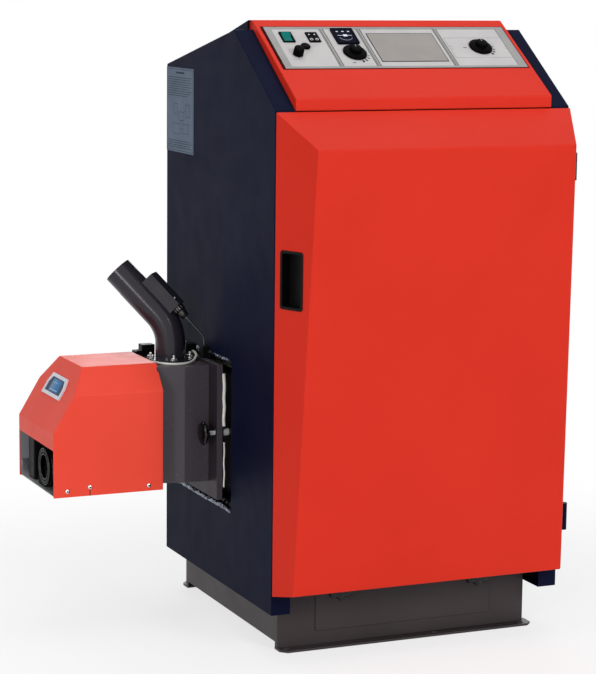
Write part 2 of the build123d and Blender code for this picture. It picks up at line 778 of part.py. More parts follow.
# Mineral wool: left, right, rear and top blankets and the front board
wool_gap = 1.5
wool_x = (vessel_half + wool_gap, casing_half - sheet - 3)
wool_y = (back(vessel_front_set), back(casing_depth) - sheet - 3)
wool_low = casing_bottom + sheet + 4
wool_high = shoulder_height - 8
with BuildPart() as casing_insulation:
    for side in (-1, 1):
        block((side * wool_x[0], side * wool_x[1]), wool_y, (base_height + 2, wool_high))
    block(
        (-wool_x[1] - 1, -wool_x[0] + 1),
        (window_y[0] + 6, window_y[1] - 6),
        (window_bottom + 8, window_top - 8),
        mode=Mode.SUBTRACT,
    )
    block(
        (-vessel_half, vessel_half),
        (vessel_y[1] + wool_gap + 4, wool_y[1]),
        (base_height + 2, wool_high),
    )
    block(
        (-vessel_half, vessel_half),
        (vessel_y[0] + 2, vessel_y[1]),
        (vessel_top + lid_thick + nut_height + 2, wool_high),
    )
    rod((0, vessel_y[1], flue_height), (0, 1, 0), neck_radius + 1, 60, Mode.SUBTRACT)
    for z in (flow_height, return_height):
        rod((flow_x, vessel_y[1], z), (0, 1, 0), socket_radius + 1, 60, Mode.SUBTRACT)
    rod((drain_x, vessel_y[1], drain_height), (0, 1, 0), drain_radius + 1, 60, Mode.SUBTRACT)
    block(
        (-vessel_half, vessel_half),
        (vessel_y[0] - 9, vessel_y[0] - 0.5),
        (base_height + 2, wool_high),
    )
    block(
        (-hatch_cover_half - 4, hatch_cover_half + 4),
        (vessel_y[0] - 10, vessel_y[0]),
        (hatch_cover_z[0] - 4, hatch_cover_z[1] + 4),
        mode=Mode.SUBTRACT,
    )
finish(casing_insulation.part, "casing_insulation")

# Console housing: folded red hood between the side panels
slope_run = console_ridge_set + console_front_proud
slope_rise = console_ridge_height - console_front_top
slope_length = math.hypot(slope_run, slope_rise)
slope_plane = Plane(
    origin=(0, back(-console_front_proud), console_front_top),
    x_dir=(1, 0, 0),
    z_dir=(0, -slope_rise / slope_length, slope_run / slope_length),
)


def on_slope(x, up, out=0.0):
    # A point on the sloping console face: across, up the slope, and out of it
    return slope_plane.from_local_coords(Vector(x, up, out))


def slope_at(height):
    # A plane parallel to the console face
    return slope_plane.offset(height)


frame_high = slope_length - frame_ridge_set
frame_low = frame_high - frame_height
frame_inner_half = frame_half - frame_side
divider_places = [share * frame_inner_half for share in divider_shares]
frame_inner = (frame_low + frame_rim, frame_high - frame_rim)
frame_middle = (frame_low + frame_high) / 2
with BuildPart() as console_housing:
    with BuildSketch(Plane.YZ.offset(-console_half)):
        Polygon(
            (back(-console_front_proud), console_bottom),
            (back(-console_front_proud), console_front_top),
            (back(console_ridge_set), console_ridge_height),
            (back(console_rear_set), roof_height(console_rear_set) - sheet - 0.2),
            (back(console_rear_set), console_tail_height),
            (back(console_shelf_set), console_bottom),
            align=None,
        )
    extrude(amount=2 * console_half)
    tails = [face for face in console_housing.faces() if face.normal_at().Y > 0.1 and face.normal_at().Z < -0.5]
    offset(amount=-sheet, openings=tails[0])
    with BuildSketch(slope_at(-3 * sheet)):
        with Locations((0, frame_middle)):
            Rectangle(2 * frame_inner_half, frame_inner[1] - frame_inner[0])
    extrude(amount=5 * sheet, mode=Mode.SUBTRACT)
finish(console_housing.part, "console_housing")

# Console frame: grey surround with three dividers
frame_proud = 1.0
with BuildPart() as console_frame:
    with BuildSketch(slope_at(0)):
        with Locations((0, frame_middle)):
            Rectangle(2 * frame_half, frame_high - frame_low)
            Rectangle(2 * frame_inner_half - 2, frame_inner[1] - frame_inner[0] - 2, mode=Mode.SUBTRACT)
    extrude(amount=frame_proud)
    with BuildSketch(slope_at(-plate_thick)):
        with Locations(*[(x, frame_middle) for x in divider_places]):
            Rectangle(divider_width, frame_inner[1] - frame_inner[0] - fit_gap)
    extrude(amount=plate_thick + frame_proud)
finish(console_frame.part, "console_frame")

# Places and sizes of the instruments: each is set from the middle of its own plate, and
# down from the upper edge of the console frame
plate_edges = [-frame_inner_half - divider_width / 2] + divider_places + [frame_inner_half + divider_width / 2]
plate_middles = [(left + right) / 2 for left, right in zip(plate_edges, plate_edges[1:])]


def on_plate(index, across, down):
    # Place on the slope of an instrument on one plate
    return (plate_middles[index] + across, frame_high - down)


switch_place = on_plate(0, -26.0, 34.5)
switch_size = (25.0, 33.0)
signal_place = on_plate(0, 28.0, 35.0)
signal_size = (24.0, 32.0)
safety_place = on_plate(0, -23.2, 90.8)
safety_radius = 10.0
fuse_place = on_plate(0, 1.5, 65.5)
fuse_radius = 9.5
gauge_place = on_plate(1, 1.25, 33.0)
gauge_size = (46.0, 50.0)
knob_places = (on_plate(1, 2.75, 87.0), on_plate(3, 6.25, 69.5))
knob_radius = 24.0
spindle_radius = 3.0
blank_place = on_plate(2, -0.25, 68.5)
blank_side_set = 7.25
blank_end_set = 16.5
blank_size = (
    plate_edges[3] - plate_edges[2] - divider_width - 2 * blank_side_set,
    frame_height - 2 * frame_rim - 2 * blank_end_set,
)

# Console plates: the four light grey instrument plates between the dividers
with BuildPart() as console_plates:
    for left_edge, right_edge in zip(plate_edges, plate_edges[1:]):
        left = left_edge + divider_width / 2 + fit_gap
        right = right_edge - divider_width / 2 - fit_gap
        with BuildSketch(slope_at(-plate_thick)):
            with Locations(((left + right) / 2, frame_middle)):
                Rectangle(right - left, frame_inner[1] - frame_inner[0] - 2 * fit_gap)
        extrude(amount=plate_thick - 0.1)
    with BuildSketch(slope_at(-2 * plate_thick)):
        with Locations(switch_place):
            Rectangle(switch_size[0] - 3, switch_size[1] - 3)
        with Locations(signal_place):
            Rectangle(signal_size[0] - 3, signal_size[1] - 3)
        with Locations(gauge_place):
            Rectangle(gauge_size[0] - 4, gauge_size[1] - 4)
        with Locations(*knob_places):
            Circle(spindle_radius + 2)
        with Locations(safety_place, fuse_place):
            Circle(6 + turn_gap)
        with Locations(blank_place):
            Rectangle(blank_size[0] - 6, blank_size[1] - 6)
    extrude(amount=4 * plate_thick, mode=Mode.SUBTRACT)
finish(console_plates.part, "console_plates")

# Regulator blank: cover of the empty electronic regulator place
blank_lip = 1.0
blank_depth = 12.0
with BuildPart() as regulator_blank:
    with BuildSketch(slope_at(0)):
        with Locations(blank_place):
            RectangleRounded(blank_size[0], blank_size[1], 2)
    extrude(amount=blank_lip)
    with BuildSketch(slope_at(-blank_depth)):
        with Locations(blank_place):
            Rectangle(blank_size[0] - 7, blank_size[1] - 7)
    extrude(amount=blank_depth)
finish(regulator_blank.part, "regulator_blank")

# Switch frame and its rocker, which tips about a cross axis below the face
rocker_size = (18.0, 26.0)
rocker_axis_depth = 2.5
rocker_pin_radius = 1.2
rocker_pin_length = 20.6
bezel_proud = 2.0
switch_depth = 24.0
with BuildPart() as switch_frame:
    with BuildSketch(slope_at(0)):
        with Locations(switch_place):
            RectangleRounded(*switch_size, 1.5)
    extrude(amount=bezel_proud)
    with BuildSketch(slope_at(-switch_depth)):
        with Locations(switch_place):
            Rectangle(switch_size[0] - 4, switch_size[1] - 4)
    extrude(amount=switch_depth)
    with BuildSketch(slope_at(-11)):
        with Locations(switch_place):
            Rectangle(rocker_size[0] + 1, rocker_size[1] + 3.8)
    extrude(amount=16, mode=Mode.SUBTRACT)
    rod(
        on_slope(switch_place[0] - switch_size[0] / 2, switch_place[1], -rocker_axis_depth),
        (1, 0, 0),
        rocker_pin_radius + turn_gap,
        switch_size[0],
        Mode.SUBTRACT,
    )
finish(switch_frame.part, "switch_frame")

with BuildPart() as switch_rocker:
    with BuildSketch(Plane(
        origin=on_slope(switch_place[0] - rocker_size[0] / 2, switch_place[1], -rocker_axis_depth),
        x_dir=slope_plane.y_dir,
        z_dir=slope_plane.x_dir,
    )):
        with BuildLine():
            rocker_low = rocker_axis_depth + 2.6
            rocker_high = rocker_axis_depth + 4.6
            Polyline(
                (-rocker_size[1] / 2, -3.5),
                (-rocker_size[1] / 2, rocker_low - 2.2),
                (0, rocker_axis_depth + 0.8),
                (rocker_size[1] / 2, rocker_high),
                (rocker_size[1] / 2, -3.5),
                (0, -6),
                close=True,
            )
        make_face()
    extrude(amount=rocker_size[0])
    rod(
        on_slope(switch_place[0] - rocker_pin_length / 2, switch_place[1], -rocker_axis_depth),
        (1, 0, 0),
        rocker_pin_radius,
        rocker_pin_length,
    )
finish(switch_rocker.part, "switch_rocker")

# Signal block: small black four-light module beside the switch
with BuildPart() as signal_block:
    with BuildSketch(slope_at(0)):
        with Locations(signal_place):
            RectangleRounded(*signal_size, 1.5)
    extrude(amount=1.8)
    with BuildSketch(slope_at(-20)):
        with Locations(signal_place):
            Rectangle(signal_size[0] - 4, signal_size[1] - 4)
    extrude(amount=20)
finish(signal_block.part, "signal_block")

# Thermometer with its rectangular face
with BuildPart() as thermometer:
    with BuildSketch(slope_at(0)):
        with Locations(gauge_place):
            RectangleRounded(*gauge_size, 3)
    extrude(amount=3.5)
    with BuildSketch(slope_at(-30)):
        with Locations(gauge_place):
            Rectangle(gauge_size[0] - 5, gauge_size[1] - 5)
    extrude(amount=30)
finish(thermometer.part, "thermometer")


# Turned console pieces: a cap or knob with the spindle that goes through its plate
def turned_piece(place, radius, height, stem_radius, stem_depth, gap):
    with BuildPart() as piece:
        with BuildSketch(slope_at(gap)):
            with Locations(place):
                Circle(radius)
        extrude(amount=height)
        with BuildSketch(slope_at(-stem_depth)):
            with Locations(place):
                Circle(stem_radius)
        extrude(amount=stem_depth + gap)
    return piece.part


finish(turned_piece(safety_place, safety_radius, 16, 6, 12, 0.4), "safety_cap")
finish(turned_piece(fuse_place, fuse_radius, 3.5, 6, 24, 0.4), "fuse_cap")


def control_knob(place):
    # Knob with a round skirt, a raised grip across it and its spindle
    skirt_height = 6.0
    grip_height = 13.5
    with BuildPart() as knob:
        with BuildSketch(slope_at(0.6)):
            with Locations(place):
                Circle(knob_radius)
        extrude(amount=skirt_height, taper=6)
        with BuildSketch(slope_at(0.6 + skirt_height)):
            with Locations(place):
                Circle(knob_radius * 0.5)
        extrude(amount=grip_height - skirt_height, taper=5)
        with BuildSketch(slope_at(-26)):
            with Locations(place):
                Circle(spindle_radius)
        extrude(amount=27)
    return knob.part


finish(control_knob(knob_places[0]), "boiler_knob")
finish(control_knob(knob_places[1]), "pump_knob")

# Blank label on the left side panel
label_rear_edge = 1.0
label_top_edge = 5.5
label_length = 155.0
label_height = 172.0
label_y = (back(casing_depth - label_rear_edge - label_length), back(casing_depth - label_rear_edge))
label_z = (rear_top_height - label_top_edge - label_height, rear_top_height - label_top_edge)
with BuildPart() as type_label:
    block((-casing_half - 0.5, -casing_half), label_y, label_z)
finish(type_label.part, "type_label")

# Casing screws on the rear panel
screw_radius = 5.0
screw_height = 3.0
screw_side_edge = 8.0
screw_low_edge = 41.0
screw_high_edge = 19.0
screw_count = 4
screw_low = casing_bottom + screw_low_edge
screw_pitch = (shoulder_height - screw_high_edge - screw_low) / (screw_count - 1)
with BuildPart() as panel_screws:
    for x in (-casing_half + screw_side_edge, casing_half - screw_side_edge):
        for index in range(screw_count):
            rod((x, rear_y + sheet, screw_low + index * screw_pitch), (0, 1, 0), screw_radius, screw_height)
finish(panel_screws.part, "panel_screws")

# Front door: planes that bevel the four sides and tilt the front
door_back_y = back(-door_gap)
door_low_y = back(-door_low_depth)
door_high_y = back(-door_high_depth)
front_tilt = Vector(0, door_high_y - door_low_y, door_high_height - door_low_height).normalized()
front_plane = Plane(
    origin=(0, door_low_y, door_low_height),
    x_dir=(1, 0, 0),
    z_dir=(0, -front_tilt.Z, front_tilt.Y),
)
side_in = casing_half - door_high_half
side_out = door_high_depth - door_gap
side_run = math.hypot(side_in, side_out)
top_fall = door_top - door_high_height
low_rise = door_low_height - door_bottom
low_out = door_low_depth - door_gap
door_cuts = [
    front_plane,
    Plane(origin=(-casing_half, door_back_y, 0), x_dir=(0, 0, 1), z_dir=(-side_out, -side_in, 0)),
    Plane(origin=(casing_half, door_back_y, 0), x_dir=(0, 0, 1), z_dir=(side_out, -side_in, 0)),
    Plane(origin=(0, door_back_y, door_top), x_dir=(1, 0, 0), z_dir=(0, -top_fall, side_out)),
    Plane(origin=(0, door_back_y, door_bottom), x_dir=(1, 0, 0), z_dir=(0, -low_rise, -low_out)),
]
cup_plane = Plane(
    origin=(-casing_half, door_back_y, cup_middle),
    x_dir=(side_in, -side_out, 0),
    z_dir=(-side_out, -side_in, 0),
)
cup_centre = cup_edge_set + cup_width / 2
leaf_x = (casing_half - leaf_in, hinge_axis_x)
hinge_y = back(hinge_axis_set)
with BuildPart() as door_panel:
    block((-casing_half, casing_half), (door_back_y - 130, door_back_y), (door_bottom, door_top))
    for cut in door_cuts:
        split(bisect_by=cut, keep=Keep.BOTTOM)
    rear_face = door_panel.faces().sort_by(Axis.Y)[-1]
    offset(amount=-sheet, openings=rear_face)
    with BuildSketch(cup_plane.offset(-3 * sheet)):
        with Locations((cup_centre, 0)):
            Rectangle(cup_width - 4, cup_height - 4)
    extrude(amount=6 * sheet, mode=Mode.SUBTRACT)
finish(door_panel.part, "door_panel")

# Door liner: back plate inside the door's rim
liner_half = casing_half - sheet - 1
liner_z = (door_bottom + sheet + 1, door_top - 2 * sheet - 0.5)
with BuildPart() as door_liner:
    block((-liner_half, liner_half), (door_back_y - sheet, door_back_y), liner_z)
finish(door_liner.part, "door_liner")

# Door insulation: board in front of the liner, inside the door's bevels and cut back beside
# the handle cup
board_depth = 41.0
board_side_gap = 11.0
board_edge_gap = 14.0
cup_clearance = 12.0
bevel_share = (board_depth - door_gap) / side_out
board_half = casing_half - side_in * bevel_share - board_side_gap
board_z = (
    door_bottom + low_rise * (board_depth - door_gap) / low_out + board_edge_gap,
    door_top - top_fall * bevel_share - board_edge_gap,
)
with BuildPart() as door_insulation:
    block((-board_half, board_half), (door_back_y - board_depth, door_back_y - sheet - fit_gap), board_z)
    block(
        (-board_half - 1, -board_half + cup_depth + cup_clearance),
        (door_back_y - board_depth - 1, door_back_y),
        (cup_middle - cup_height / 2 - cup_clearance, cup_middle + cup_height / 2 + cup_clearance),
        mode=Mode.SUBTRACT,
    )
finish(door_insulation.part, "door_insulation")

# Handle cup: recessed grip in the left bevel of the door
cup_lip = 1.5
cup_wall = 2.5
with BuildPart() as door_handle_cup:
    with BuildSketch(cup_plane):
        with Locations((cup_centre, 0)):
            RectangleRounded(cup_width, cup_height, 6)
    extrude(amount=cup_lip)
    with BuildSketch(cup_plane.offset(-cup_depth)):
        with Locations((cup_centre, 0)):
            Rectangle(cup_width - 5, cup_height - 5)
    extrude(amount=cup_depth)
    with BuildSketch(cup_plane.offset(-cup_depth + cup_wall)):
        with Locations((cup_centre, 0)):
            RectangleRounded(cup_width - 5 - 2 * cup_wall, cup_height - 5 - 2 * cup_wall, 4)
    extrude(amount=cup_depth + 2 * cup_lip, mode=Mode.SUBTRACT)
finish(door_handle_cup.part, "door_handle_cup")

# Door hinges: brackets with pins on the right side panel, and leaves on the door
bracket_length = 34.0
with BuildPart() as door_hinge_brackets:
    for low in hinge_places:
        block(
            (casing_half, casing_half + leaf_thick),
            (hinge_y, back(bracket_length)),
            (low, low + hinge_half_height - fit_gap),
        )
        block((casing_half, hinge_axis_x), (hinge_y - 1, hinge_y + 2), (low, low + hinge_half_height - fit_gap))
        rod((hinge_axis_x, hinge_y, low), (0, 0, 1), hinge_radius, hinge_half_height - fit_gap)
        rod((hinge_axis_x, hinge_y, low + 4), (0, 0, 1), hinge_pin_radius, 2 * hinge_half_height - 6)
finish(door_hinge_brackets.part, "door_hinge_brackets")

with BuildPart() as door_hinge_leaves:
    for low in hinge_places:
        leaf_low = low + hinge_half_height
        leaf_y = (door_back_y, door_back_y + leaf_thick)
        block(leaf_x, leaf_y, (leaf_low, leaf_low + hinge_half_height))
        rod((hinge_axis_x, hinge_y, leaf_low), (0, 0, 1), hinge_radius, hinge_half_height)
        rod((hinge_axis_x, hinge_y, leaf_low - 1), (0, 0, 1), hinge_pin_radius + turn_gap,
            hinge_half_height, Mode.SUBTRACT)
finish(door_hinge_leaves.part, "door_hinge_leaves")


def star_knob(base, direction, radius, lobes, thick, stud_radius, stud_length):
    # Lobed clamp knob: base is the centre of its outer face, direction points along the stud
    plane = Plane(origin=base, z_dir=direction)
    lobe_radius = radius * 0.27
    ring = radius - lobe_radius
    with BuildPart() as knob:
        with BuildSketch(plane):
            Circle(ring)
            with PolarLocations(ring, lobes):
                Circle(lobe_radius)
        extrude(amount=thick)
        with BuildSketch(plane.offset(thick)):
            Circle(radius * 0.42)
        extrude(amount=thick * 0.45)
        with BuildSketch(plane.offset(thick)):
            Circle(stud_radius)
        extrude(amount=stud_length)
    return knob.part


ash_knob_thick = 18.0
for side, name in ((-1, "ash_knob_left"), (1, "ash_knob_right")):
    finish(
        star_knob(
            (side * ash_knob_x, back(ash_knob_front_set), ash_knob_height),
            (0, 1, 0),
            ash_knob_radius,
            8,
            ash_knob_thick,
            ash_stud_radius,
            base_front_set + base_wall + 4 - ash_knob_front_set - ash_knob_thick,
        ),
        name,
    )

# Burner plate: folded tray that carries the burner and closes the collar
plate_y = (back(plate_front_set), back(plate_rear_set))
rim_x = plate_face_x + plate_rim
burner_y = back(burner_axis_set)
tube_y = (burner_y - tube_half, burner_y + tube_half)
with BuildPart() as burner_plate:
    block((plate_face_x, rim_x), plate_y, (plate_low, plate_high))
    block(
        (plate_face_x + plate_sheet, rim_x + 1),
        (plate_y[0] + plate_sheet, plate_y[1] - plate_sheet),
        (plate_low + plate_sheet, plate_high - plate_sheet),
        mode=Mode.SUBTRACT,
    )
    block((plate_face_x - 1, plate_face_x + 9), tube_y, (tube_low, tube_high), mode=Mode.SUBTRACT)
    rod((plate_face_x - 1, knob_y, burner_knob_height), (1, 0, 0), burner_stud_radius + turn_gap,
        plate_sheet + 2, Mode.SUBTRACT)
    for z in swing_knuckle_places:
        low = z + lug_height + fit_gap
        high = low + swing_knuckle_height - 4
        block((rim_x - 4, rim_x), (plate_y[1] - 1, swing_y), (low, high))
        rod((swing_axis_x, swing_y, low), (0, 0, 1), swing_knuckle_radius, high - low)
        rod((swing_axis_x, swing_y, low - 1), (0, 0, 1), swing_pin_radius + turn_gap,
            high - low + 2, Mode.SUBTRACT)
finish(burner_plate.part, "burner_plate")

# Glass rope seal between the burner plate and the collar flange
with BuildPart() as burner_rope:
    with BuildSketch(Plane.YZ.offset(plate_face_x + plate_sheet)):
        with Locations(((throat_y[0] + throat_y[1]) / 2, (throat_low + throat_high) / 2)):
            Rectangle(throat_y[1] - throat_y[0] + 2 * rope_width, throat_high - throat_low + 2 * rope_width)
            Rectangle(throat_y[1] - throat_y[0], throat_high - throat_low, mode=Mode.SUBTRACT)
    extrude(amount=collar_flange_x - fit_gap - plate_face_x - plate_sheet)
    fillet(burner_rope.edges().filter_by(Axis.X), radius=4)
finish(burner_rope.part, "burner_rope")

# Combustion tube with its slotted grate, open towards the chamber
tube_sheet = 3.0
grate_height = tube_low + 26.0
grate_thick = 4.0
grate_start = 20.0
grate_slot = 5.0
grate_pitch = 12.0
grate_slots = 7
grate_edge = 18.0
with BuildPart() as combustion_tube:
    block((plate_face_x, tube_end_x), tube_y, (tube_low, tube_high))
    block(
        (plate_face_x - 1, tube_end_x + 1),
        (tube_y[0] + tube_sheet, tube_y[1] - tube_sheet),
        (tube_low + tube_sheet, tube_high - tube_sheet),
        mode=Mode.SUBTRACT,
    )
    block((plate_face_x + 4, tube_end_x - 8), tube_y, (grate_height, grate_height + grate_thick))
    for index in range(grate_slots):
        x = plate_face_x + grate_start + index * grate_pitch
        block(
            (x, x + grate_slot),
            (tube_y[0] + grate_edge, tube_y[1] - grate_edge),
            (grate_height - 1, grate_height + grate_thick + 1),
            mode=Mode.SUBTRACT,
        )
finish(combustion_tube.part, "combustion_tube")

# Igniter: ceramic rod under the grate
igniter_radius = 6.0
igniter_height = tube_low + 13.0
igniter_length = housing_length + 10.0
with BuildPart() as igniter:
    rod((housing_end_x + 40, burner_y, igniter_height), (1, 0, 0), igniter_radius, igniter_length)
    rod((housing_end_x + 30, burner_y, igniter_height), (1, 0, 0), igniter_radius + 3, 30)
finish(igniter.part, "igniter")

# Burner housing: grey sheet body with bevelled corners between plate and cover
housing_y = (burner_y - housing_half, burner_y + housing_half)
chamfer_x = plate_face_x - housing_chamfer_start
with BuildPart() as burner_housing:
    with BuildSketch(Plane.XY.offset(housing_low)):
        Polygon(
            (plate_face_x, housing_y[0]),
            (chamfer_x, housing_y[0]),
            (housing_end_x, housing_y[0] + housing_chamfer_depth),
            (housing_end_x, housing_y[1] - housing_chamfer_depth),
            (chamfer_x, housing_y[1]),
            (plate_face_x, housing_y[1]),
            align=None,
        )
    extrude(amount=housing_high - housing_low)
    offset(amount=-housing_sheet, openings=burner_housing.faces().sort_by(Axis.X)[-1])
    rod((elbow_x, back(elbow_set), housing_high - 9), (0, 0, 1), elbow_radius - elbow_wall, 20, Mode.SUBTRACT)
    rod((housing_end_x - 1, burner_y, igniter_height), (1, 0, 0), igniter_radius + 3.5, 9, Mode.SUBTRACT)
finish(burner_housing.part, "burner_housing")

# Burner cover: red hood with a bevelled top and a sloping end
cover_y = (back(cover_near_set), back(cover_far_set))
cover_rise = cover_top - cover_crease
end_run = cover_top_outer_x - cover_outer_x
end_rise = cover_top - cover_lip_high
cover_cuts = [
    Plane(origin=(cover_outer_x, 0, cover_lip_high), x_dir=(0, 1, 0), z_dir=(-end_rise, 0, end_run)),
    Plane(origin=(0, cover_y[0], cover_crease), x_dir=(1, 0, 0), z_dir=(0, -cover_rise, cover_taper)),
    Plane(origin=(0, cover_y[1], cover_crease), x_dir=(1, 0, 0), z_dir=(0, cover_rise, cover_taper)),
]
with BuildPart() as burner_cover:
    block((cover_outer_x, cover_inner_x), cover_y, (cover_low, cover_top))
    for cut in cover_cuts:
        split(bisect_by=cut, keep=Keep.BOTTOM)
    offset(amount=-sheet, openings=burner_cover.faces().sort_by(Axis.Z)[0])
    block(
        (cover_outer_x - 1, cover_outer_x + 1 + sheet),
        (cover_y[0] + sheet, cover_y[1] - sheet),
        (cover_low - 1, cover_lip_low),
        mode=Mode.SUBTRACT,
    )
    block(
        (cover_inner_x - 1 - sheet, cover_inner_x + 1),
        (housing_y[0] - fit_gap, housing_y[1] + fit_gap),
        (cover_low - 1, housing_high + fit_gap),
        mode=Mode.SUBTRACT,
    )
    block(
        (cover_inner_x - 1 - sheet, cover_inner_x + 1),
        (back(lead_notch_set) - 8, back(lead_notch_set) + 8),
        (housing_high, cover_top - sheet),
        mode=Mode.SUBTRACT,
    )
finish(burner_cover.part, "burner_cover")

# Tray that carries the fan under the cover
tray_sheet = 2.0
tray_x = (cover_outer_x + 4, housing_end_x)
tray_y = (cover_y[0] + sheet + fit_gap, cover_y[1] - sheet - fit_gap)
tray_rim = 34.0
tray_end_height = 120.0
with BuildPart() as burner_tray:
    block(tray_x, tray_y, (cover_low, cover_low + tray_rim))
    block(
        (tray_x[0] - 1, tray_x[1] + 1),
        (tray_y[0] + tray_sheet, tray_y[1] - tray_sheet),
        (cover_low + tray_sheet, cover_low + tray_rim + 1),
        mode=Mode.SUBTRACT,
    )
    block((housing_end_x - tray_sheet, housing_end_x), tray_y, (cover_low, cover_low + tray_end_height))
finish(burner_tray.part, "burner_tray")

# Fan: scroll housing, motor and impeller on one axis along X
fan_near = 18.0             # fan axis in front of the burner's axis
fan_rise = 40.0
fan_radius = 38.0
fan_gap = 124.0             # between the fan and the end of the burner housing
fan_width = 56.0
fan_sheet = 2.0
inlet_radius = 24.0
shaft_radius = 5.0
fan_y = burner_y - fan_near
fan_z = housing_low + fan_rise
fan_x = (housing_end_x - fan_gap - fan_width, housing_end_x - fan_gap)
with BuildPart() as fan_housing:
    rod((fan_x[0], fan_y, fan_z), (1, 0, 0), fan_radius, fan_x[1] - fan_x[0])
    block((fan_x[0], fan_x[1]), (fan_y, fan_y + fan_radius), (cover_low + tray_sheet, fan_z))
    rod((fan_x[0] + fan_sheet, fan_y, fan_z), (1, 0, 0), fan_radius - fan_sheet,
        fan_x[1] - fan_x[0] - 2 * fan_sheet, Mode.SUBTRACT)
    block(
        (fan_x[0] + fan_sheet, fan_x[1] - fan_sheet),
        (fan_y + fan_sheet, fan_y + fan_radius - fan_sheet),
        (cover_low + 3 * tray_sheet, fan_z),
        mode=Mode.SUBTRACT,
    )
    rod((fan_x[0] - 1, fan_y, fan_z), (1, 0, 0), inlet_radius, fan_sheet + 2, Mode.SUBTRACT)
    rod((fan_x[1] - 3 * fan_sheet, fan_y, fan_z), (1, 0, 0), shaft_radius + turn_gap, 4 * fan_sheet + 1,
        Mode.SUBTRACT)
finish(fan_housing.part, "fan_housing")

blade_count = 24
blade_ring = 27.0
blade_width = 10.0
blade_thick = 1.6
impeller_sheet = 2.0
impeller_front_gap = 8.0
impeller_rear_gap = 5.0
hub_radius = 12.0
hub_length = 10.0
shaft_length = 24.0
impeller_x = (fan_x[0] + fan_sheet + impeller_front_gap, fan_x[1] - fan_sheet - impeller_rear_gap)
blade_length = impeller_x[1] - impeller_x[0] + impeller_sheet / 2
with BuildPart() as fan_impeller:
    for x in impeller_x:
        rod((x, fan_y, fan_z), (1, 0, 0), blade_ring + 4, impeller_sheet)
    rod((impeller_x[0] - 1, fan_y, fan_z), (1, 0, 0), blade_ring - 8, impeller_sheet + 2, Mode.SUBTRACT)
    with BuildSketch(Plane(origin=(impeller_x[0], fan_y, fan_z), z_dir=(1, 0, 0))):
        with PolarLocations(blade_ring - 2, blade_count):
            Rectangle(blade_width, blade_thick, rotation=25)
    extrude(amount=blade_length)
    rod((impeller_x[1] - hub_length + 1, fan_y, fan_z), (1, 0, 0), hub_radius, hub_length)
    rod((impeller_x[1], fan_y, fan_z), (1, 0, 0), shaft_radius, shaft_length)
finish(fan_impeller.part, "fan_impeller")

motor_radius = 26.0
motor_end_gap = 50.0
motor_bore = shaft_length - impeller_rear_gap + 1
motor_x = (fan_x[1] + fit_gap, housing_end_x - motor_end_gap)
with BuildPart() as fan_motor:
    rod((motor_x[0], fan_y, fan_z), (1, 0, 0), motor_radius, motor_x[1] - motor_x[0])
    rod((motor_x[0] - 1, fan_y, fan_z), (1, 0, 0), shaft_radius + turn_gap, motor_bore + 1, Mode.SUBTRACT)
finish(fan_motor.part, "fan_motor")

# Control box: upright electronics case beside the fan
control_box_end = 11.7      # from the cover's outer end
control_box_length = 65.0
control_box_near = 52.0
control_box_width = 36.0
control_box_top_set = 7.0
control_box_x = cover_outer_x + control_box_end
control_box_y = burner_y + control_box_near
with BuildPart() as control_box:
    block(
        (control_box_x, control_box_x + control_box_length),
        (control_box_y, control_box_y + control_box_width),
        (cover_low + tray_sheet, cover_lip_high - control_box_top_set),
    )
    fillet(control_box.edges().filter_by(Axis.Z), radius=3)
finish(control_box.part, "control_box")

# Display on the sloping end of the cover
end_length = math.hypot(end_run, end_rise)
end_plane = Plane(
    origin=(cover_outer_x, burner_y, cover_lip_high),
    x_dir=(0, -1, 0),
    z_dir=(-end_rise, 0, end_run),
)
display_place = (0.0, 84.0)
display_width = 110.0
display_top_width = 90.0
display_height = 45.0
display_kink = 2.0          # the sides start to lean in this far above the middle
display_side_rim = 9.0
display_edge_rim = 7.0
display_thick = 3.0


def display_outline(side_rim, edge_rim):
    # Corners of the display's outline, moved in by the two rims
    wide = display_width / 2 - side_rim
    top = display_top_width / 2 - side_rim
    high = display_height / 2 - edge_rim
    return ((-wide, -high), (wide, -high), (wide, display_kink), (top, high), (-top, high), (-wide, display_kink))


with BuildPart() as display_bezel:
    with BuildSketch(end_plane):
        with Locations(display_place):
            Polygon(*display_outline(0, 0), align=None)
            Polygon(*display_outline(display_side_rim, display_edge_rim), align=None, mode=Mode.SUBTRACT)
    extrude(amount=display_thick)
finish(display_bezel.part, "display_bezel")

with BuildPart() as display_screen:
    with BuildSketch(end_plane):
        with Locations(display_place):
            Polygon(*display_outline(display_side_rim + fit_gap, display_edge_rim + fit_gap), align=None)
    extrude(amount=display_thick * 0.6)
finish(display_screen.part, "display_screen")

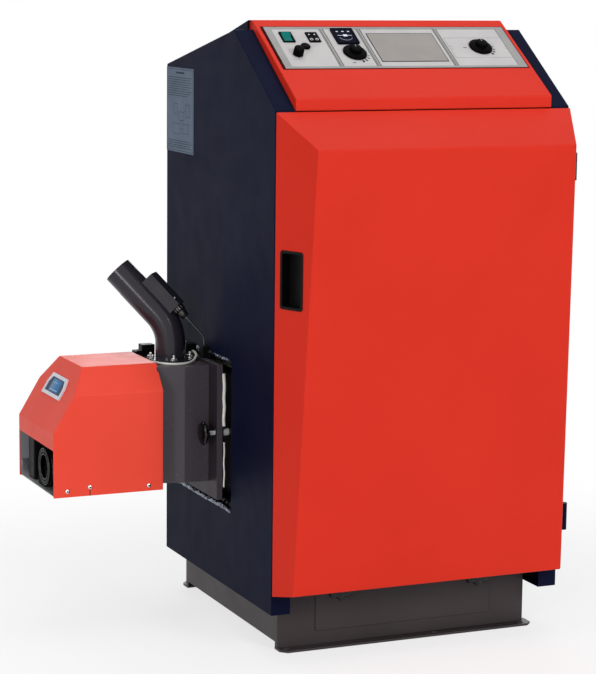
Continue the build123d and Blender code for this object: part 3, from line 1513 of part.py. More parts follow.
# Pellet inlet elbow: upright leg, bend and slanting leg, on a round bolted flange
elbow_y = back(elbow_set)
lean = math.sqrt(0.5)
turned_x = lean * math.cos(math.radians(elbow_turn))
turned_y = lean * math.sin(math.radians(elbow_turn))
leg_axis = Vector(-turned_x, turned_y, lean)
leg_out = Vector(turned_x, -turned_y, lean)
corner = Vector(elbow_x, elbow_y, elbow_corner_height)
elbow_end = corner + leg_axis * elbow_leg
with BuildPart() as pellet_elbow:
    with BuildLine():
        elbow_path = FilletPolyline(
            (elbow_x, elbow_y, housing_high),
            corner,
            elbow_end,
            radius=elbow_bend,
        )
    with BuildSketch(Plane.XY.offset(housing_high)):
        with Locations((elbow_x, elbow_y)):
            Circle(elbow_radius)
            Circle(elbow_radius - elbow_wall, mode=Mode.SUBTRACT)
    sweep(path=elbow_path.wire())
    with BuildSketch(Plane.XY.offset(housing_high)):
        with Locations((elbow_x, elbow_y)):
            Circle(elbow_flange_radius)
            Circle(elbow_radius - elbow_wall, mode=Mode.SUBTRACT)
    extrude(amount=elbow_flange_thick)
    with BuildSketch(Plane(origin=elbow_end, z_dir=leg_axis * -1)):
        Circle(elbow_radius + 1)
        Circle(elbow_radius - hose_step, mode=Mode.SUBTRACT)
    extrude(amount=hose_seat, mode=Mode.SUBTRACT)
finish(pellet_elbow.part, "pellet_elbow")

# Screws of the burner: flange bolts and the cover's side screws
bolt_turn = -10.0
cover_screw_places = ((27.7, 12.0), (73.7, 17.0), (194.7, 11.0))   # from the cover's lower outer corner
bolt_head = 6.5
with BuildPart() as burner_screws:
    for index in range(4):
        angle = math.radians(bolt_turn + 90 * index)
        x = elbow_x + elbow_bolt_circle * math.cos(angle)
        y = elbow_y + elbow_bolt_circle * math.sin(angle)
        top = housing_high + elbow_flange_thick
        with BuildSketch(Plane.XY.offset(top)):
            with Locations((x, y)):
                RegularPolygon(bolt_head, 6)
        extrude(amount=5)
        rod((x, y, top), (0, 0, 1), 3, 10)
    for along, up in cover_screw_places:
        x = cover_outer_x + along
        z = cover_low + up
        rod((x, cover_y[0] - screw_height, z), (0, 1, 0), screw_radius, screw_height)
        rod((x, cover_y[1], z), (0, 1, 0), screw_radius, screw_height)
finish(burner_screws.part, "burner_screws")

# Level sensor on the slanting leg: box, cable gland and its lead
sensor_from = 17.0
sensor_to = 100.0
sensor_lid_from = 46.5
sensor_lid_to = 50.5
sensor_plane = Plane(origin=corner, x_dir=leg_axis, z_dir=leg_out)
sensor_half = 18.0
sensor_gap = 0.2


def pipe_clearance():
    # Cuts the elbow's outside, with a small gap, from the piece being built
    with BuildLine(mode=Mode.PRIVATE) as middle:
        FilletPolyline(
            (elbow_x, elbow_y, housing_high),
            corner,
            elbow_end,
            radius=elbow_bend,
        )
    with BuildSketch(Plane.XY.offset(housing_high), mode=Mode.PRIVATE) as outside:
        with Locations((elbow_x, elbow_y)):
            Circle(elbow_radius + sensor_gap)
    sweep(sections=outside.sketch, path=middle.wires()[0], mode=Mode.SUBTRACT)


with BuildPart() as sensor_box:
    with BuildSketch(sensor_plane.offset(10)):
        with Locations(((sensor_from + sensor_to) / 2, 0)):
            Rectangle(sensor_to - sensor_from, 2 * sensor_half)
    extrude(amount=sensor_lid_from - 10)
    with BuildSketch(sensor_plane.offset(sensor_lid_from)):
        with Locations(((sensor_from + sensor_to) / 2, 0)):
            RectangleRounded(sensor_to - sensor_from, 2 * sensor_half + 2, 3)
    extrude(amount=sensor_lid_to - sensor_lid_from)
    pipe_clearance()
finish(sensor_box.part, "sensor_box")

gland_out = 37.0
gland_start = corner + leg_axis * sensor_from + leg_out * gland_out
gland_radius = 12.0
gland_dome = 8.5
gland_nut = 11.0
gland_length = 25.0
with BuildPart() as sensor_gland:
    rod(gland_start, leg_axis * -1, gland_radius, gland_nut)
    rod(gland_start + leg_axis * -gland_nut, leg_axis * -1, gland_dome, gland_length - gland_nut)
    pipe_clearance()
finish(sensor_gland.part, "sensor_gland")

# Plug connectors: two on the burner plate for the leads, and a stepped one at the back
lead_plug_out = 15.0
lead_plug_size = (23.0, 24.0, 22.0)
lead_plug_near = 6.0
sensor_plug_in = 0.5
sensor_plug_size = (14.0, 20.0, 24.0)
sensor_plug_near = 46.0
rear_plug_from = 11.0
rear_plug_size = (42.0, 22.0, 11.0)
rear_plug_step = 14.0
rear_plug_top = 12.0
rear_plug_far = 58.0


def span(start, size):
    # The two ends of a stretch of a given size
    return (start, start + size)


lead_plug_x = span(plate_face_x - lead_plug_out, lead_plug_size[0])
lead_plug_y = span(elbow_y + lead_plug_near, lead_plug_size[1])
lead_plug_z = span(plate_high, lead_plug_size[2])
sensor_plug_x = span(plate_face_x + sensor_plug_in, sensor_plug_size[0])
sensor_plug_y = span(elbow_y - sensor_plug_near, sensor_plug_size[1])
sensor_plug_z = span(plate_high, sensor_plug_size[2])
rear_plug_x = span(elbow_x - rear_plug_from - rear_plug_size[0], rear_plug_size[0])
rear_plug_y = span(burner_y + rear_plug_far, rear_plug_size[1])
rear_plug_high = housing_high + rear_plug_size[2]
with BuildPart() as plug_connectors:
    block(lead_plug_x, lead_plug_y, lead_plug_z)
    block(sensor_plug_x, sensor_plug_y, sensor_plug_z)
    block(rear_plug_x, rear_plug_y, (housing_high, rear_plug_high))
    block((rear_plug_x[0] + rear_plug_step, rear_plug_x[1]), rear_plug_y,
          (rear_plug_high - 1, rear_plug_high + rear_plug_top))
finish(plug_connectors.part, "plug_connectors")

# Sensor lead: from the gland down to its plug
lead_radius = 2.0
gland_end = gland_start + leg_axis * -gland_length
sensor_entry = Vector(
    (sensor_plug_x[0] + sensor_plug_x[1]) / 2, (sensor_plug_y[0] + sensor_plug_y[1]) / 2, sensor_plug_z[1]
)
sensor_route = [
    gland_end,
    gland_end + leg_axis * -14,
    sensor_entry + Vector(0, 0, 17),
    sensor_entry,
]


def route_radii(points):
    # Each arc takes 0.45 of its shorter run
    radii = []
    for before, here, after in zip(points, points[1:], points[2:]):
        run_in = here - before
        run_out = after - here
        turn = math.radians(run_in.get_angle(run_out))
        radii.append(0.45 * min(run_in.length, run_out.length) / math.tan(turn / 2))
    return radii


def lead(points, radius, name):
    # A round lead along straight runs and tangent arcs
    radii = route_radii(points)
    print(name, "radii", [round(value, 1) for value in radii])
    with BuildPart() as cable:
        with BuildLine():
            path = FilletPolyline(*points, radius=radii)
        with BuildSketch(Plane(origin=points[0], z_dir=points[1] - points[0])):
            Circle(radius)
        sweep(path=path)
    print(name, "volume", round(cable.part.volume, 1), "section times length",
          round(math.pi * radius ** 2 * path.length, 1))
    return cable.part


finish(lead(sensor_route, lead_radius, "sensor_cable"), "sensor_cable")

# Igniter lead: white high-temperature lead that lies round the front of the elbow flange
white_radius = 2.5
white_z = housing_high + white_radius + 0.1


def by_elbow(across, along, z):
    # A point beside the upright leg of the elbow
    return Vector(elbow_x + across, elbow_y + along, z)


igniter_route = [
    Vector(cover_inner_x - 6, back(lead_notch_set), white_z),
    by_elbow(-48, -25, white_z),
    by_elbow(-36, -53, white_z),
    by_elbow(-15, -70, white_z),
    by_elbow(13, -66, white_z),
    by_elbow(33, -47, white_z + 1.5),
    by_elbow(47, -25, lead_plug_z[0] + 4),
    by_elbow(50, -7, lead_plug_z[0] + 7),
    by_elbow(50, 6, lead_plug_z[0] + 7),
]
finish(lead(igniter_route, white_radius, "igniter_cable"), "igniter_cable")

# Burner clamp knob with its stud
burner_knob_thick = 12.0
finish(
    star_knob(
        (burner_knob_x - burner_knob_thick / 2, knob_y, burner_knob_height),
        (1, 0, 0),
        burner_knob_radius,
        8,
        burner_knob_thick,
        burner_stud_radius,
        -casing_half + 8 - (burner_knob_x + burner_knob_thick / 2),
    ),
    "burner_knob",
)
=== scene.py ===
import json
import math

import bmesh
import bpy
from mathutils import Matrix, Vector, noise


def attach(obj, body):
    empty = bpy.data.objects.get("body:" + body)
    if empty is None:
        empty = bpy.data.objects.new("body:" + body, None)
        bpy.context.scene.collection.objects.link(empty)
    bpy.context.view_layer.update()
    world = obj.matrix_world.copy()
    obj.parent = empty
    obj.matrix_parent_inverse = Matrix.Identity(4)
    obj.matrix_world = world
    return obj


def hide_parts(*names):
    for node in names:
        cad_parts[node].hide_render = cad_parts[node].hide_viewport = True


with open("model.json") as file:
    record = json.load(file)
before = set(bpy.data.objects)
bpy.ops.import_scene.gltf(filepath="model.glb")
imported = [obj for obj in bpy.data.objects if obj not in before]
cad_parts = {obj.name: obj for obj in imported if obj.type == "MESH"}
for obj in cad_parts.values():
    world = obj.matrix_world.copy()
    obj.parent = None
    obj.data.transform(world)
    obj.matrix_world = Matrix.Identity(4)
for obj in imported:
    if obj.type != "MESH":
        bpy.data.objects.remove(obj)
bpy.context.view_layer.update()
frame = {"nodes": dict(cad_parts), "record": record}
nodes = frame["nodes"]
bodyOf = {name: body for body, names in frame["record"]["behaviour"]["bodies"].items() for name in names}
print("frame loaded with", len(nodes), "nodes")

mm = 0.001
# Fixed seed, so that wool and foil come out the same on every run
noise.seed_set(11)


def hexColour(text):
    # sRGB hex to the linear values the shaders use
    parts = [int(text[i:i + 2], 16) / 255 for i in (1, 3, 5)]
    linear = [p / 12.92 if p <= 0.04045 else ((p + 0.055) / 1.055) ** 2.4 for p in parts]
    return (*linear, 1.0)


def addNode(owner, kind, settings=None, inputs=None):
    # One node: its settings, then values or links for its inputs
    node = owner.node_tree.nodes.new(kind)
    for key, value in (settings or {}).items():
        setattr(node, key, value)
    for key, value in (inputs or {}).items():
        if isinstance(value, bpy.types.NodeSocket):
            owner.node_tree.links.new(value, node.inputs[key])
        else:
            node.inputs[key].default_value = value
    return node


# Camera at the photograph's place
cameraPlan = {"place": (-1.9473, -4.1896, 1.2945), "yaw": -23.52, "pitch": -9.0, "roll": 0.61, "lens": 121.87}
camData = bpy.data.cameras.new("photoCamera")
camData.lens = cameraPlan["lens"]
camData.sensor_width = 36.0
camData.sensor_fit = "AUTO"
camData.clip_end = 100.0
cam = bpy.data.objects.new("photoCamera", camData)
bpy.context.scene.collection.objects.link(cam)
turn = (Matrix.Rotation(math.radians(cameraPlan["yaw"]), 4, "Z")
        @ Matrix.Rotation(math.radians(90 + cameraPlan["pitch"]), 4, "X")
        @ Matrix.Rotation(math.radians(cameraPlan["roll"]), 4, "Z"))
cam.matrix_world = Matrix.Translation(cameraPlan["place"]) @ turn
bpy.context.scene.camera = cam
bpy.context.scene.view_settings.view_transform = "Standard"

# Lamps: a softbox from the front right, weak fills, one lamp above
lampPlan = {
    "keySoftbox": {"place": (1.3, -4.5, 2.5), "aim": (0.0, 0.0, 0.7), "size": (1.5, 1.5), "power": 97},
    "leftFill": {"place": (-4.4, -3.6, 1.6), "aim": (-0.3, 0.0, 0.6), "size": (1.0, 1.8), "power": 104},
    "topSoftbox": {"place": (-0.2, -0.4, 4.2), "aim": (0.0, 0.0, 0.8), "size": (2.6, 2.6), "power": 50},
    "backSoftbox": {"place": (1.8, 4.2, 2.4), "aim": (0.0, 0.0, 0.6), "size": (2.2, 2.2), "power": 60},
}
for lampName, plan in lampPlan.items():
    lampData = bpy.data.lights.new(lampName, "AREA")
    lampData.shape = "RECTANGLE"
    lampData.size, lampData.size_y = plan["size"]
    lampData.energy = plan["power"]
    lamp = bpy.data.objects.new(lampName, lampData)
    lamp.location = plan["place"]
    aim = Vector(plan["aim"]) - Vector(plan["place"])
    lamp.rotation_euler = aim.to_track_quat("-Z", "Y").to_euler()
    bpy.context.scene.collection.objects.link(lamp)


def seenRays(owner):
    # 1 for rays that see the background: camera, mirror and glass rays
    rays = addNode(owner, "ShaderNodeLightPath")
    direct = addNode(owner, "ShaderNodeMath", {"operation": "MAXIMUM"},
                     {0: rays.outputs["Is Camera Ray"], 1: rays.outputs["Is Glossy Ray"]})
    return addNode(owner, "ShaderNodeMath", {"operation": "MAXIMUM"},
                   {0: direct.outputs[0], 1: rays.outputs["Is Transmission Ray"]}).outputs[0]


world = bpy.data.worlds.new("studio")
world.use_nodes = True
world.node_tree.nodes.clear()
bpy.context.scene.world = world
ambient = addNode(world, "ShaderNodeBackground", None, {"Color": hexColour("#eceef4"), "Strength": 0.4})
backdrop = addNode(world, "ShaderNodeBackground", None, {"Color": (1, 1, 1, 1), "Strength": 1.0})
worldMix = addNode(world, "ShaderNodeMixShader", None,
                   {0: seenRays(world), 1: ambient.outputs[0], 2: backdrop.outputs[0]})
addNode(world, "ShaderNodeOutputWorld", None, {"Surface": worldMix.outputs[0]})

# Floor: keeps the shadow near the object and turns white further out
floorPlan = {"half": 14.0, "shadowTo": 0.55, "whiteFrom": 1.5, "paleShare": 0.72}
floorMesh = bpy.data.meshes.new("studioFloor")
floorForm = bmesh.new()
bmesh.ops.create_grid(floorForm, x_segments=2, y_segments=2, size=floorPlan["half"])
floorForm.to_mesh(floorMesh)
floorForm.free()
studioFloor = bpy.data.objects.new("studioFloor", floorMesh)
bpy.context.scene.collection.objects.link(studioFloor)
floorPaper = bpy.data.materials.new("palePaper")
floorPaper.use_nodes = True
floorPaper.node_tree.nodes.clear()
floorPoint = addNode(floorPaper, "ShaderNodeTexCoord").outputs["Object"]
floorReach = addNode(floorPaper, "ShaderNodeVectorMath", {"operation": "LENGTH"}, {0: floorPoint})
floorFade = addNode(floorPaper, "ShaderNodeMapRange", {"interpolation_type": "SMOOTHSTEP"},
                    {"Value": floorReach.outputs["Value"], "From Min": floorPlan["shadowTo"],
                     "From Max": floorPlan["whiteFrom"], "To Min": floorPlan["paleShare"], "To Max": 1.0})
floorDull = addNode(floorPaper, "ShaderNodeBsdfDiffuse", None, {"Color": hexColour("#f2f2f2")})
floorGlow = addNode(floorPaper, "ShaderNodeEmission", None, {"Color": (1, 1, 1, 1), "Strength": 1.0})
floorShare = addNode(floorPaper, "ShaderNodeMath", {"operation": "MULTIPLY"},
                     {0: seenRays(floorPaper), 1: floorFade.outputs["Result"]})
floorMix = addNode(floorPaper, "ShaderNodeMixShader", None,
                   {0: floorShare.outputs[0], 1: floorDull.outputs[0], 2: floorGlow.outputs[0]})
addNode(floorPaper, "ShaderNodeOutputMaterial", None, {"Surface": floorMix.outputs[0]})
floorMesh.materials.append(floorPaper)
print("camera, lamps and floor placed")


def newFinish(name):
    # An empty node material with a Principled shader and its output
    mat = bpy.data.materials.new(name)
    mat.use_nodes = True
    mat.node_tree.nodes.clear()
    shader = addNode(mat, "ShaderNodeBsdfPrincipled")
    addNode(mat, "ShaderNodeOutputMaterial", None, {"Surface": shader.outputs["BSDF"]})
    place = addNode(mat, "ShaderNodeTexCoord").outputs["Object"]
    return mat, shader, place


def feed(mat, shader, inputs):
    # Sets values or links on a shader that is already there
    for key, value in inputs.items():
        if isinstance(value, bpy.types.NodeSocket):
            mat.node_tree.links.new(value, shader.inputs[key])
        else:
            shader.inputs[key].default_value = value


def toneOf(mat, place, dark, light, size, detail=3.0):
    # Slow change between two close colours; size in metres is one patch
    patches = addNode(mat, "ShaderNodeTexNoise", None, {"Vector": place, "Scale": 1 / size, "Detail": detail})
    ramp = addNode(mat, "ShaderNodeValToRGB", None, {"Fac": patches.outputs["Fac"]})
    ramp.color_ramp.elements[0].position = 0.3
    ramp.color_ramp.elements[1].position = 0.7
    ramp.color_ramp.elements[0].color = hexColour(dark)
    ramp.color_ramp.elements[1].color = hexColour(light)
    return ramp.outputs["Color"]


def roughOf(mat, place, middle, spread, size):
    # Roughness that wanders round its middle value
    cloud = addNode(mat, "ShaderNodeTexNoise", None, {"Vector": place, "Scale": 1 / size, "Detail": 4.0})
    return addNode(mat, "ShaderNodeMapRange", None,
                   {"Value": cloud.outputs["Fac"], "From Min": 0.3, "From Max": 0.7,
                    "To Min": middle - spread, "To Max": middle + spread}).outputs["Result"]


def bumpOf(mat, place, size, height, strength=0.3, detail=2.0):
    # Fine relief; size is one grain and height its depth, both in metres
    grain = addNode(mat, "ShaderNodeTexNoise", None, {"Vector": place, "Scale": 1 / size, "Detail": detail})
    relief = {"Height": grain.outputs["Fac"], "Strength": strength, "Distance": height}
    return addNode(mat, "ShaderNodeBump", None, relief).outputs["Normal"]


def powderCoat(name, dark, light, rough, sheen, peel=0.00006):
    # Polyester powder coat, sprayed and baked on sheet steel: even colour, soft highlights, and an
    # orange peel of about 1.5 mm, drawn at 2.2 mm so that it shows
    mat, shader, place = newFinish(name)
    feed(mat, shader, {"Base Color": toneOf(mat, place, dark, light, 0.25),
                       "Roughness": roughOf(mat, place, rough, 0.04, 0.05),
                       "Specular IOR Level": sheen,
                       "Normal": bumpOf(mat, place, 0.0022, peel)})
    return mat


def mouldedPlastic(name, dark, light, rough, grain, sheen=0.4):
    # Moulded plastic: a slight skin sheen, and a spark-eroded grain of about 0.3 mm that is drawn coarser
    mat, shader, place = newFinish(name)
    feed(mat, shader, {"Base Color": toneOf(mat, place, dark, light, 0.02),
                       "Roughness": roughOf(mat, place, rough, 0.05, 0.008),
                       "Specular IOR Level": sheen,
                       "Normal": bumpOf(mat, place, grain, 0.00008)})
    return mat


def workedMetal(name, dark, light, rough, grain, stretch=(1.0, 1.0, 0.08), metal=1.0):
    # Rolled steel, bare or plated: short rolling lines over cloudy patches, drawn at 1 to 6 mm to show
    mat, shader, place = newFinish(name)
    drawn = addNode(mat, "ShaderNodeMapping", None, {"Vector": place, "Scale": stretch}).outputs["Vector"]
    feed(mat, shader, {"Base Color": toneOf(mat, place, dark, light, grain * 12),
                       "Metallic": metal,
                       "Roughness": roughOf(mat, drawn, rough, 0.09, grain),
                       "Normal": bumpOf(mat, drawn, grain, 0.00005, 0.25, 4.0)})
    return mat


def printedFilm(name, dark, light, rough, sheen=0.35):
    # Screen-printed film or card: flat colour with a tooth of about 0.2 mm, drawn at 0.9 mm
    mat, shader, place = newFinish(name)
    feed(mat, shader, {"Base Color": toneOf(mat, place, dark, light, 0.05),
                       "Roughness": roughOf(mat, place, rough, 0.03, 0.03),
                       "Specular IOR Level": sheen,
                       "Normal": bumpOf(mat, place, 0.0009, 0.00003, 0.2)})
    return mat


def crumpledFoil(name, dark, light):
    # Aluminium foil pressed over wool: creases some 9 mm apart that catch the light in small facets
    mat, shader, place = newFinish(name)
    folds = addNode(mat, "ShaderNodeTexVoronoi", {"feature": "F1"}, {"Vector": place, "Scale": 1 / 0.009})
    bump = addNode(mat, "ShaderNodeBump", None,
                   {"Height": folds.outputs["Distance"], "Strength": 0.9, "Distance": 0.004})
    feed(mat, shader, {"Base Color": toneOf(mat, place, dark, light, 0.012, 5.0), "Metallic": 1.0,
                       "Roughness": 0.24, "Normal": bump.outputs["Normal"]})
    return mat


def fibreWool(name, dark, light):
    # Pressed mineral wool: matted fibres with dark pits about 3 mm apart
    mat, shader, place = newFinish(name)
    feed(mat, shader, {"Base Color": toneOf(mat, place, dark, light, 0.006, 8.0), "Roughness": 0.95,
                       "Specular IOR Level": 0.1, "Normal": bumpOf(mat, place, 0.003, 0.0015, 0.8, 8.0)})
    return mat


def wovenGlass(name, dark, light):
    # Braided glass fibre: yarns of about 4 mm that cross as two sets of slanting waves
    mat, shader, place = newFinish(name)
    yarns = [addNode(mat, "ShaderNodeTexWave", {"bands_direction": "DIAGONAL"},
                     {"Vector": addNode(mat, "ShaderNodeMapping", None,
                                        {"Vector": place, "Scale": scale}).outputs["Vector"],
                      "Scale": 1 / 0.004, "Distortion": 1.2}).outputs["Fac"]
             for scale in ((1, 1, 1), (-1, 1, -1))]
    crossed = addNode(mat, "ShaderNodeMath", {"operation": "MAXIMUM"}, {0: yarns[0], 1: yarns[1]})
    bump = addNode(mat, "ShaderNodeBump", None,
                   {"Height": crossed.outputs[0], "Strength": 0.6, "Distance": 0.0007})
    feed(mat, shader, {"Base Color": toneOf(mat, place, dark, light, 0.01), "Roughness": 0.85,
                       "Specular IOR Level": 0.2, "Normal": bump.outputs["Normal"]})
    return mat


finish = {
    "redCoat": powderCoat("redPowderCoat", "#c82b1a", "#ce2e1d", 0.42, 0.1),
    "coverCoat": powderCoat("redCoverCoat", "#de4533", "#e44937", 0.4, 0.1),
    "navyCoat": powderCoat("navyPowderCoat", "#0c1024", "#10152b", 0.46, 0.02, 0.0001),
    "graphiteCoat": powderCoat("graphitePowderCoat", "#383233", "#3f393a", 0.42, 0.16, 0.0001),
    "burnerGrey": powderCoat("greyPowderCoat", "#433c42", "#4a4449", 0.26, 0.3),
    # A darker copy of the burner grey: painted shade on the plate's face behind the housing
    "platePaintedShade": powderCoat("greyCoatPaintedShade", "#272127", "#2d272c", 0.4, 0.1),
    "elbowGrey": powderCoat("elbowPowderCoat", "#26232a", "#2c2930", 0.2, 0.3),
    "blackAbs": mouldedPlastic("mouldedBlackAbs", "#060607", "#0b0b0d", 0.45, 0.0007, 0.1),
    "knobBlack": mouldedPlastic("satinBlackKnob", "#030304", "#060607", 0.5, 0.0006, 0.02),
    "fanBlack": mouldedPlastic("glossBlackPolyamide", "#0a0a0b", "#111113", 0.3, 0.0012, 0.4),
    "bakelite": mouldedPlastic("blackBakelite", "#030304", "#060607", 0.14, 0.004, 0.3),
    "zincPlate": workedMetal("brightZincPlate", "#b4b6b8", "#d6d7d6", 0.26, 0.0012),
    "galvanised": workedMetal("galvanisedSheet", "#868a8c", "#94989a", 0.42, 0.0025, (1.0, 1.0, 0.4), 0.9),
    # Pale zinc with little metal, so that the sleeve shows bright: a painted highlight in place of
    # reflections
    "zincPaintedHighlight": workedMetal("zincSleevePaintedHighlight", "#c4c6c8", "#dadbdb", 0.4, 0.002, (1.0, 1.0, 1.0), 0.35),
    "stainless": workedMetal("heatTintedStainless", "#6f6558", "#9b9488", 0.32, 0.003),
    "boilerPlate": workedMetal("primedBoilerPlate", "#232324", "#2f2e2f", 0.6, 0.006, (1, 1, 1), 0.2),
    "castIron": workedMetal("sootyCastIron", "#1c1a19", "#2b2826", 0.7, 0.003, (1, 1, 1), 0.3),
    "consoleFilm": printedFilm("paleGreyFilm", "#b5b2b1", "#bdbab9", 0.45, 0.08),
    "windowFilm": printedFilm("warmGreyFilm", "#8f8a86", "#96918c", 0.4, 0.08),
    "labelFilm": printedFilm("blueGreyLabelFilm", "#566374", "#5f6c7d", 0.45, 0.06),
    "labelInk": printedFilm("greyLabelInk", "#222b38", "#2c3644", 0.6, 0.05),
    "frameGrey": printedFilm("anodisedEdgeStrip", "#8f8e8c", "#989795", 0.4, 0.12),
    # Painted shadow for the gap round the console frame
    "jointShadow": printedFilm("paintedJointShadow", "#2a0706", "#3a0c0a", 0.7, 0.05),
    "primerGrey": powderCoat("greyPrimerOverspray", "#6d7074", "#7c7f83", 0.6, 0.15, 0.0001),
    "whiteAbs": printedFilm("whiteAbs", "#c9cad2", "#d6d7df", 0.36),
    # Dark ink for print, also used as painted shade in slots, recesses and seams
    "markGrey": printedFilm("darkInkAndPaintedShade", "#1b1c20", "#242529", 0.6, 0.08),
    "markFaint": printedFilm("faintMarkInk", "#85868a", "#8e8f93", 0.6, 0.08),
    "markPale": printedFilm("paleMarkInk", "#9aa0ae", "#a8aebb", 0.6, 0.08),
    "markWhite": printedFilm("whiteMarkInk", "#d4d6dc", "#dfe1e6", 0.6, 0.1),
    "greenLens": printedFilm("greenRockerLens", "#03655d", "#057068", 0.4, 0.05),
    "navyDial": printedFilm("navyDialCard", "#070919", "#0a0d20", 0.5, 0.02),
    "screenPale": printedFilm("paleScreenLine", "#7fb4d6", "#8dc0e0", 0.4, 0.1),
    "screenEdge": printedFilm("navyScreenEdge", "#0a1a3c", "#0d2148", 0.3, 0.12),
    "screenBlue": printedFilm("litBlueScreen", "#1f6296", "#2a74a8", 0.3, 0.15),
    "rope": wovenGlass("wovenGlassRope", "#d5d3cb", "#ebe9e2"),
    "whiteLead": printedFilm("whiteSiliconeLead", "#cfcdc6", "#dcdad3", 0.45),
    "blackLead": mouldedPlastic("blackPvcLead", "#0e0e10", "#18181b", 0.2, 0.002, 0.9),
    "ceramic": printedFilm("glazedCeramic", "#c9c4b6", "#d5d0c3", 0.4),
    # Lit and shaded copies of one foil: the darker one is painted shade
    "foil": crumpledFoil("crumpledFoil", "#3c434f", "#8e98a8"),
    "foilPaintedShade": crumpledFoil("foilWithPaintedShade", "#15161a", "#3a3d44"),
    "wool": fibreWool("oliveMineralWool", "#24221a", "#4b4737"),
    "foamBlack": mouldedPlastic("blackGasketFoam", "#0b0b0c", "#151516", 0.8, 0.001, 0.15),
}
print("finishes made:", len(finish))

nodeFinish = {
    "redCoat": "door_panel console_housing",
    "coverCoat": "burner_cover",
    "navyCoat": "side_panel_left side_panel_right rear_panel top_cover door_hinge_brackets door_hinge_leaves",
    "graphiteCoat": "base_frame ash_lid burner_collar",
    "burnerGrey": "burner_plate burner_housing",
    "elbowGrey": "pellet_elbow sensor_box",
    "blackAbs": "door_handle_cup control_box sensor_gland plug_connectors",
    "knobBlack": "switch_frame signal_block boiler_knob pump_knob safety_cap fuse_cap fan_housing",
    "fanBlack": "fan_impeller",
    "bakelite": "burner_knob ash_knob_left ash_knob_right",
    "zincPlate": "cover_nuts panel_screws burner_screws",
    "galvanised": "ash_pan flue_spigot water_sockets turbulators door_liner burner_tray fan_motor",
    "stainless": "combustion_tube",
    "boilerPlate": "boiler_vessel inner_vessel exchanger_lid",
    "castIron": "cleaning_cover",
    "consoleFilm": "console_plates",
    "windowFilm": "regulator_blank",
    "labelFilm": "type_label",
    "frameGrey": "console_frame",
    "whiteAbs": "display_bezel",
    "greenLens": "switch_rocker",
    "navyDial": "thermometer",
    "screenEdge": "display_screen",
    "wool": "casing_insulation door_insulation",
    "rope": "burner_rope",
    "whiteLead": "igniter_cable",
    "blackLead": "sensor_cable",
    "ceramic": "igniter",
}
finishOf = {name: finishName for finishName, names in nodeFinish.items() for name in names.split()}
for name, finishName in finishOf.items():
    nodes[name].data.materials.clear()
    nodes[name].data.materials.append(finish[finishName])
print("CAD nodes given their finishes")


def placePiece(name, form, finishName, body, replaced=(), crisp=38.0):
    # Turns a form into a piece on its body; folds sharper than crisp degrees keep a hard edge
    mesh = bpy.data.meshes.new(name)
    form.to_mesh(mesh)
    form.free()
    mesh.shade_smooth()
    mesh.set_sharp_from_angle(angle=math.radians(crisp))
    mesh.materials.append(finish[finishName])
    piece = bpy.data.objects.new(name, mesh)
    bpy.context.scene.collection.objects.link(piece)
    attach(piece, body)
    if replaced:
        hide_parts(*replaced)
    return piece


def roomBeside(loop):
    # How far a face reaches inwards from one of its edges before it meets another edge
    start = loop.vert.co
    end = loop.link_loop_next.vert.co
    along = (end - start).normalized()
    inward = loop.face.normal.cross(along)
    room = 1.0
    for share in (0.1, 0.5, 0.9):
        foot = start.lerp(end, share)
        for other in loop.face.loops:
            near = other.vert.co - foot
            far = other.link_loop_next.vert.co - foot
            nearAlong, farAlong = near.dot(along), far.dot(along)
            if other == loop or nearAlong * farAlong > 0 or abs(nearAlong - farAlong) < 1e-9:
                continue
            crossing = nearAlong / (nearAlong - farAlong)
            reach = near.lerp(far, crossing).dot(inward)
            if reach > 1e-6:
                room = min(room, reach)
    return room


# Rounding of sheet folds: from what fold angle, how deep, and how little on narrow faces
foldPlan = {"merge": 0.02 * mm, "flat": 0.4, "fold": 25.0, "segments": 2, "narrow": 0.32, "crisp": 30.0}


def softCopy(nodeName, radius):
    # Copy of a CAD node whose outer folds are rounded, less where a face beside them is narrow
    form = bmesh.new()
    form.from_mesh(nodes[nodeName].data)
    bmesh.ops.remove_doubles(form, verts=form.verts[:], dist=foldPlan["merge"])
    bmesh.ops.dissolve_limit(form, angle_limit=math.radians(foldPlan["flat"]), verts=form.verts[:],
                             edges=form.edges[:])
    weights = form.edges.layers.float.new("bevel_weight_edge")
    for edge in form.edges:
        if len(edge.link_faces) != 2 or not edge.is_convex:
            continue
        if edge.calc_face_angle(0) < math.radians(foldPlan["fold"]):
            continue
        room = min(roomBeside(loop) for loop in edge.link_loops)
        edge[weights] = min(1.0, foldPlan["narrow"] * room / radius)
    piece = placePiece(nodeName + "Soft", form, finishOf[nodeName], bodyOf[nodeName], (nodeName,),
                       foldPlan["crisp"])
    bevel = piece.modifiers.new("foldRadius", "BEVEL")
    bevel.limit_method = "WEIGHT"
    bevel.width = radius
    bevel.segments = foldPlan["segments"]
    bevel.use_clamp_overlap = False
    bevel.harden_normals = True
    return piece


# Radius of the outer folds of each sheet piece, in mm
foldRadius = {
    "door_panel": 2.4, "console_housing": 2.4, "burner_cover": 2.0, "side_panel_left": 2.0,
    "side_panel_right": 2.0, "top_cover": 2.0, "rear_panel": 1.6, "base_frame": 2.0, "ash_lid": 1.4,
    "burner_plate": 1.6, "burner_housing": 1.8, "ash_pan": 1.5, "control_box": 1.2,
    "console_plates": 0.5, "door_liner": 1.0, "exchanger_lid": 1.5, "cleaning_cover": 3.0,
    "burner_tray": 1.2, "plug_connectors": 1.4, "regulator_blank": 0.8,
}
for name, radius in foldRadius.items():
    softCopy(name, radius * mm)
print("sheet pieces rounded:", len(foldRadius))

# The plate's broad face behind the housing has a darker grey than its edges: painted shade cast by the
# housing
plateMesh = bpy.data.objects["burner_plateSoft"].data
plateMesh.materials.append(finish["platePaintedShade"])
for polygon in plateMesh.polygons:
    if polygon.normal.x < -0.9:
        polygon.material_index = 1


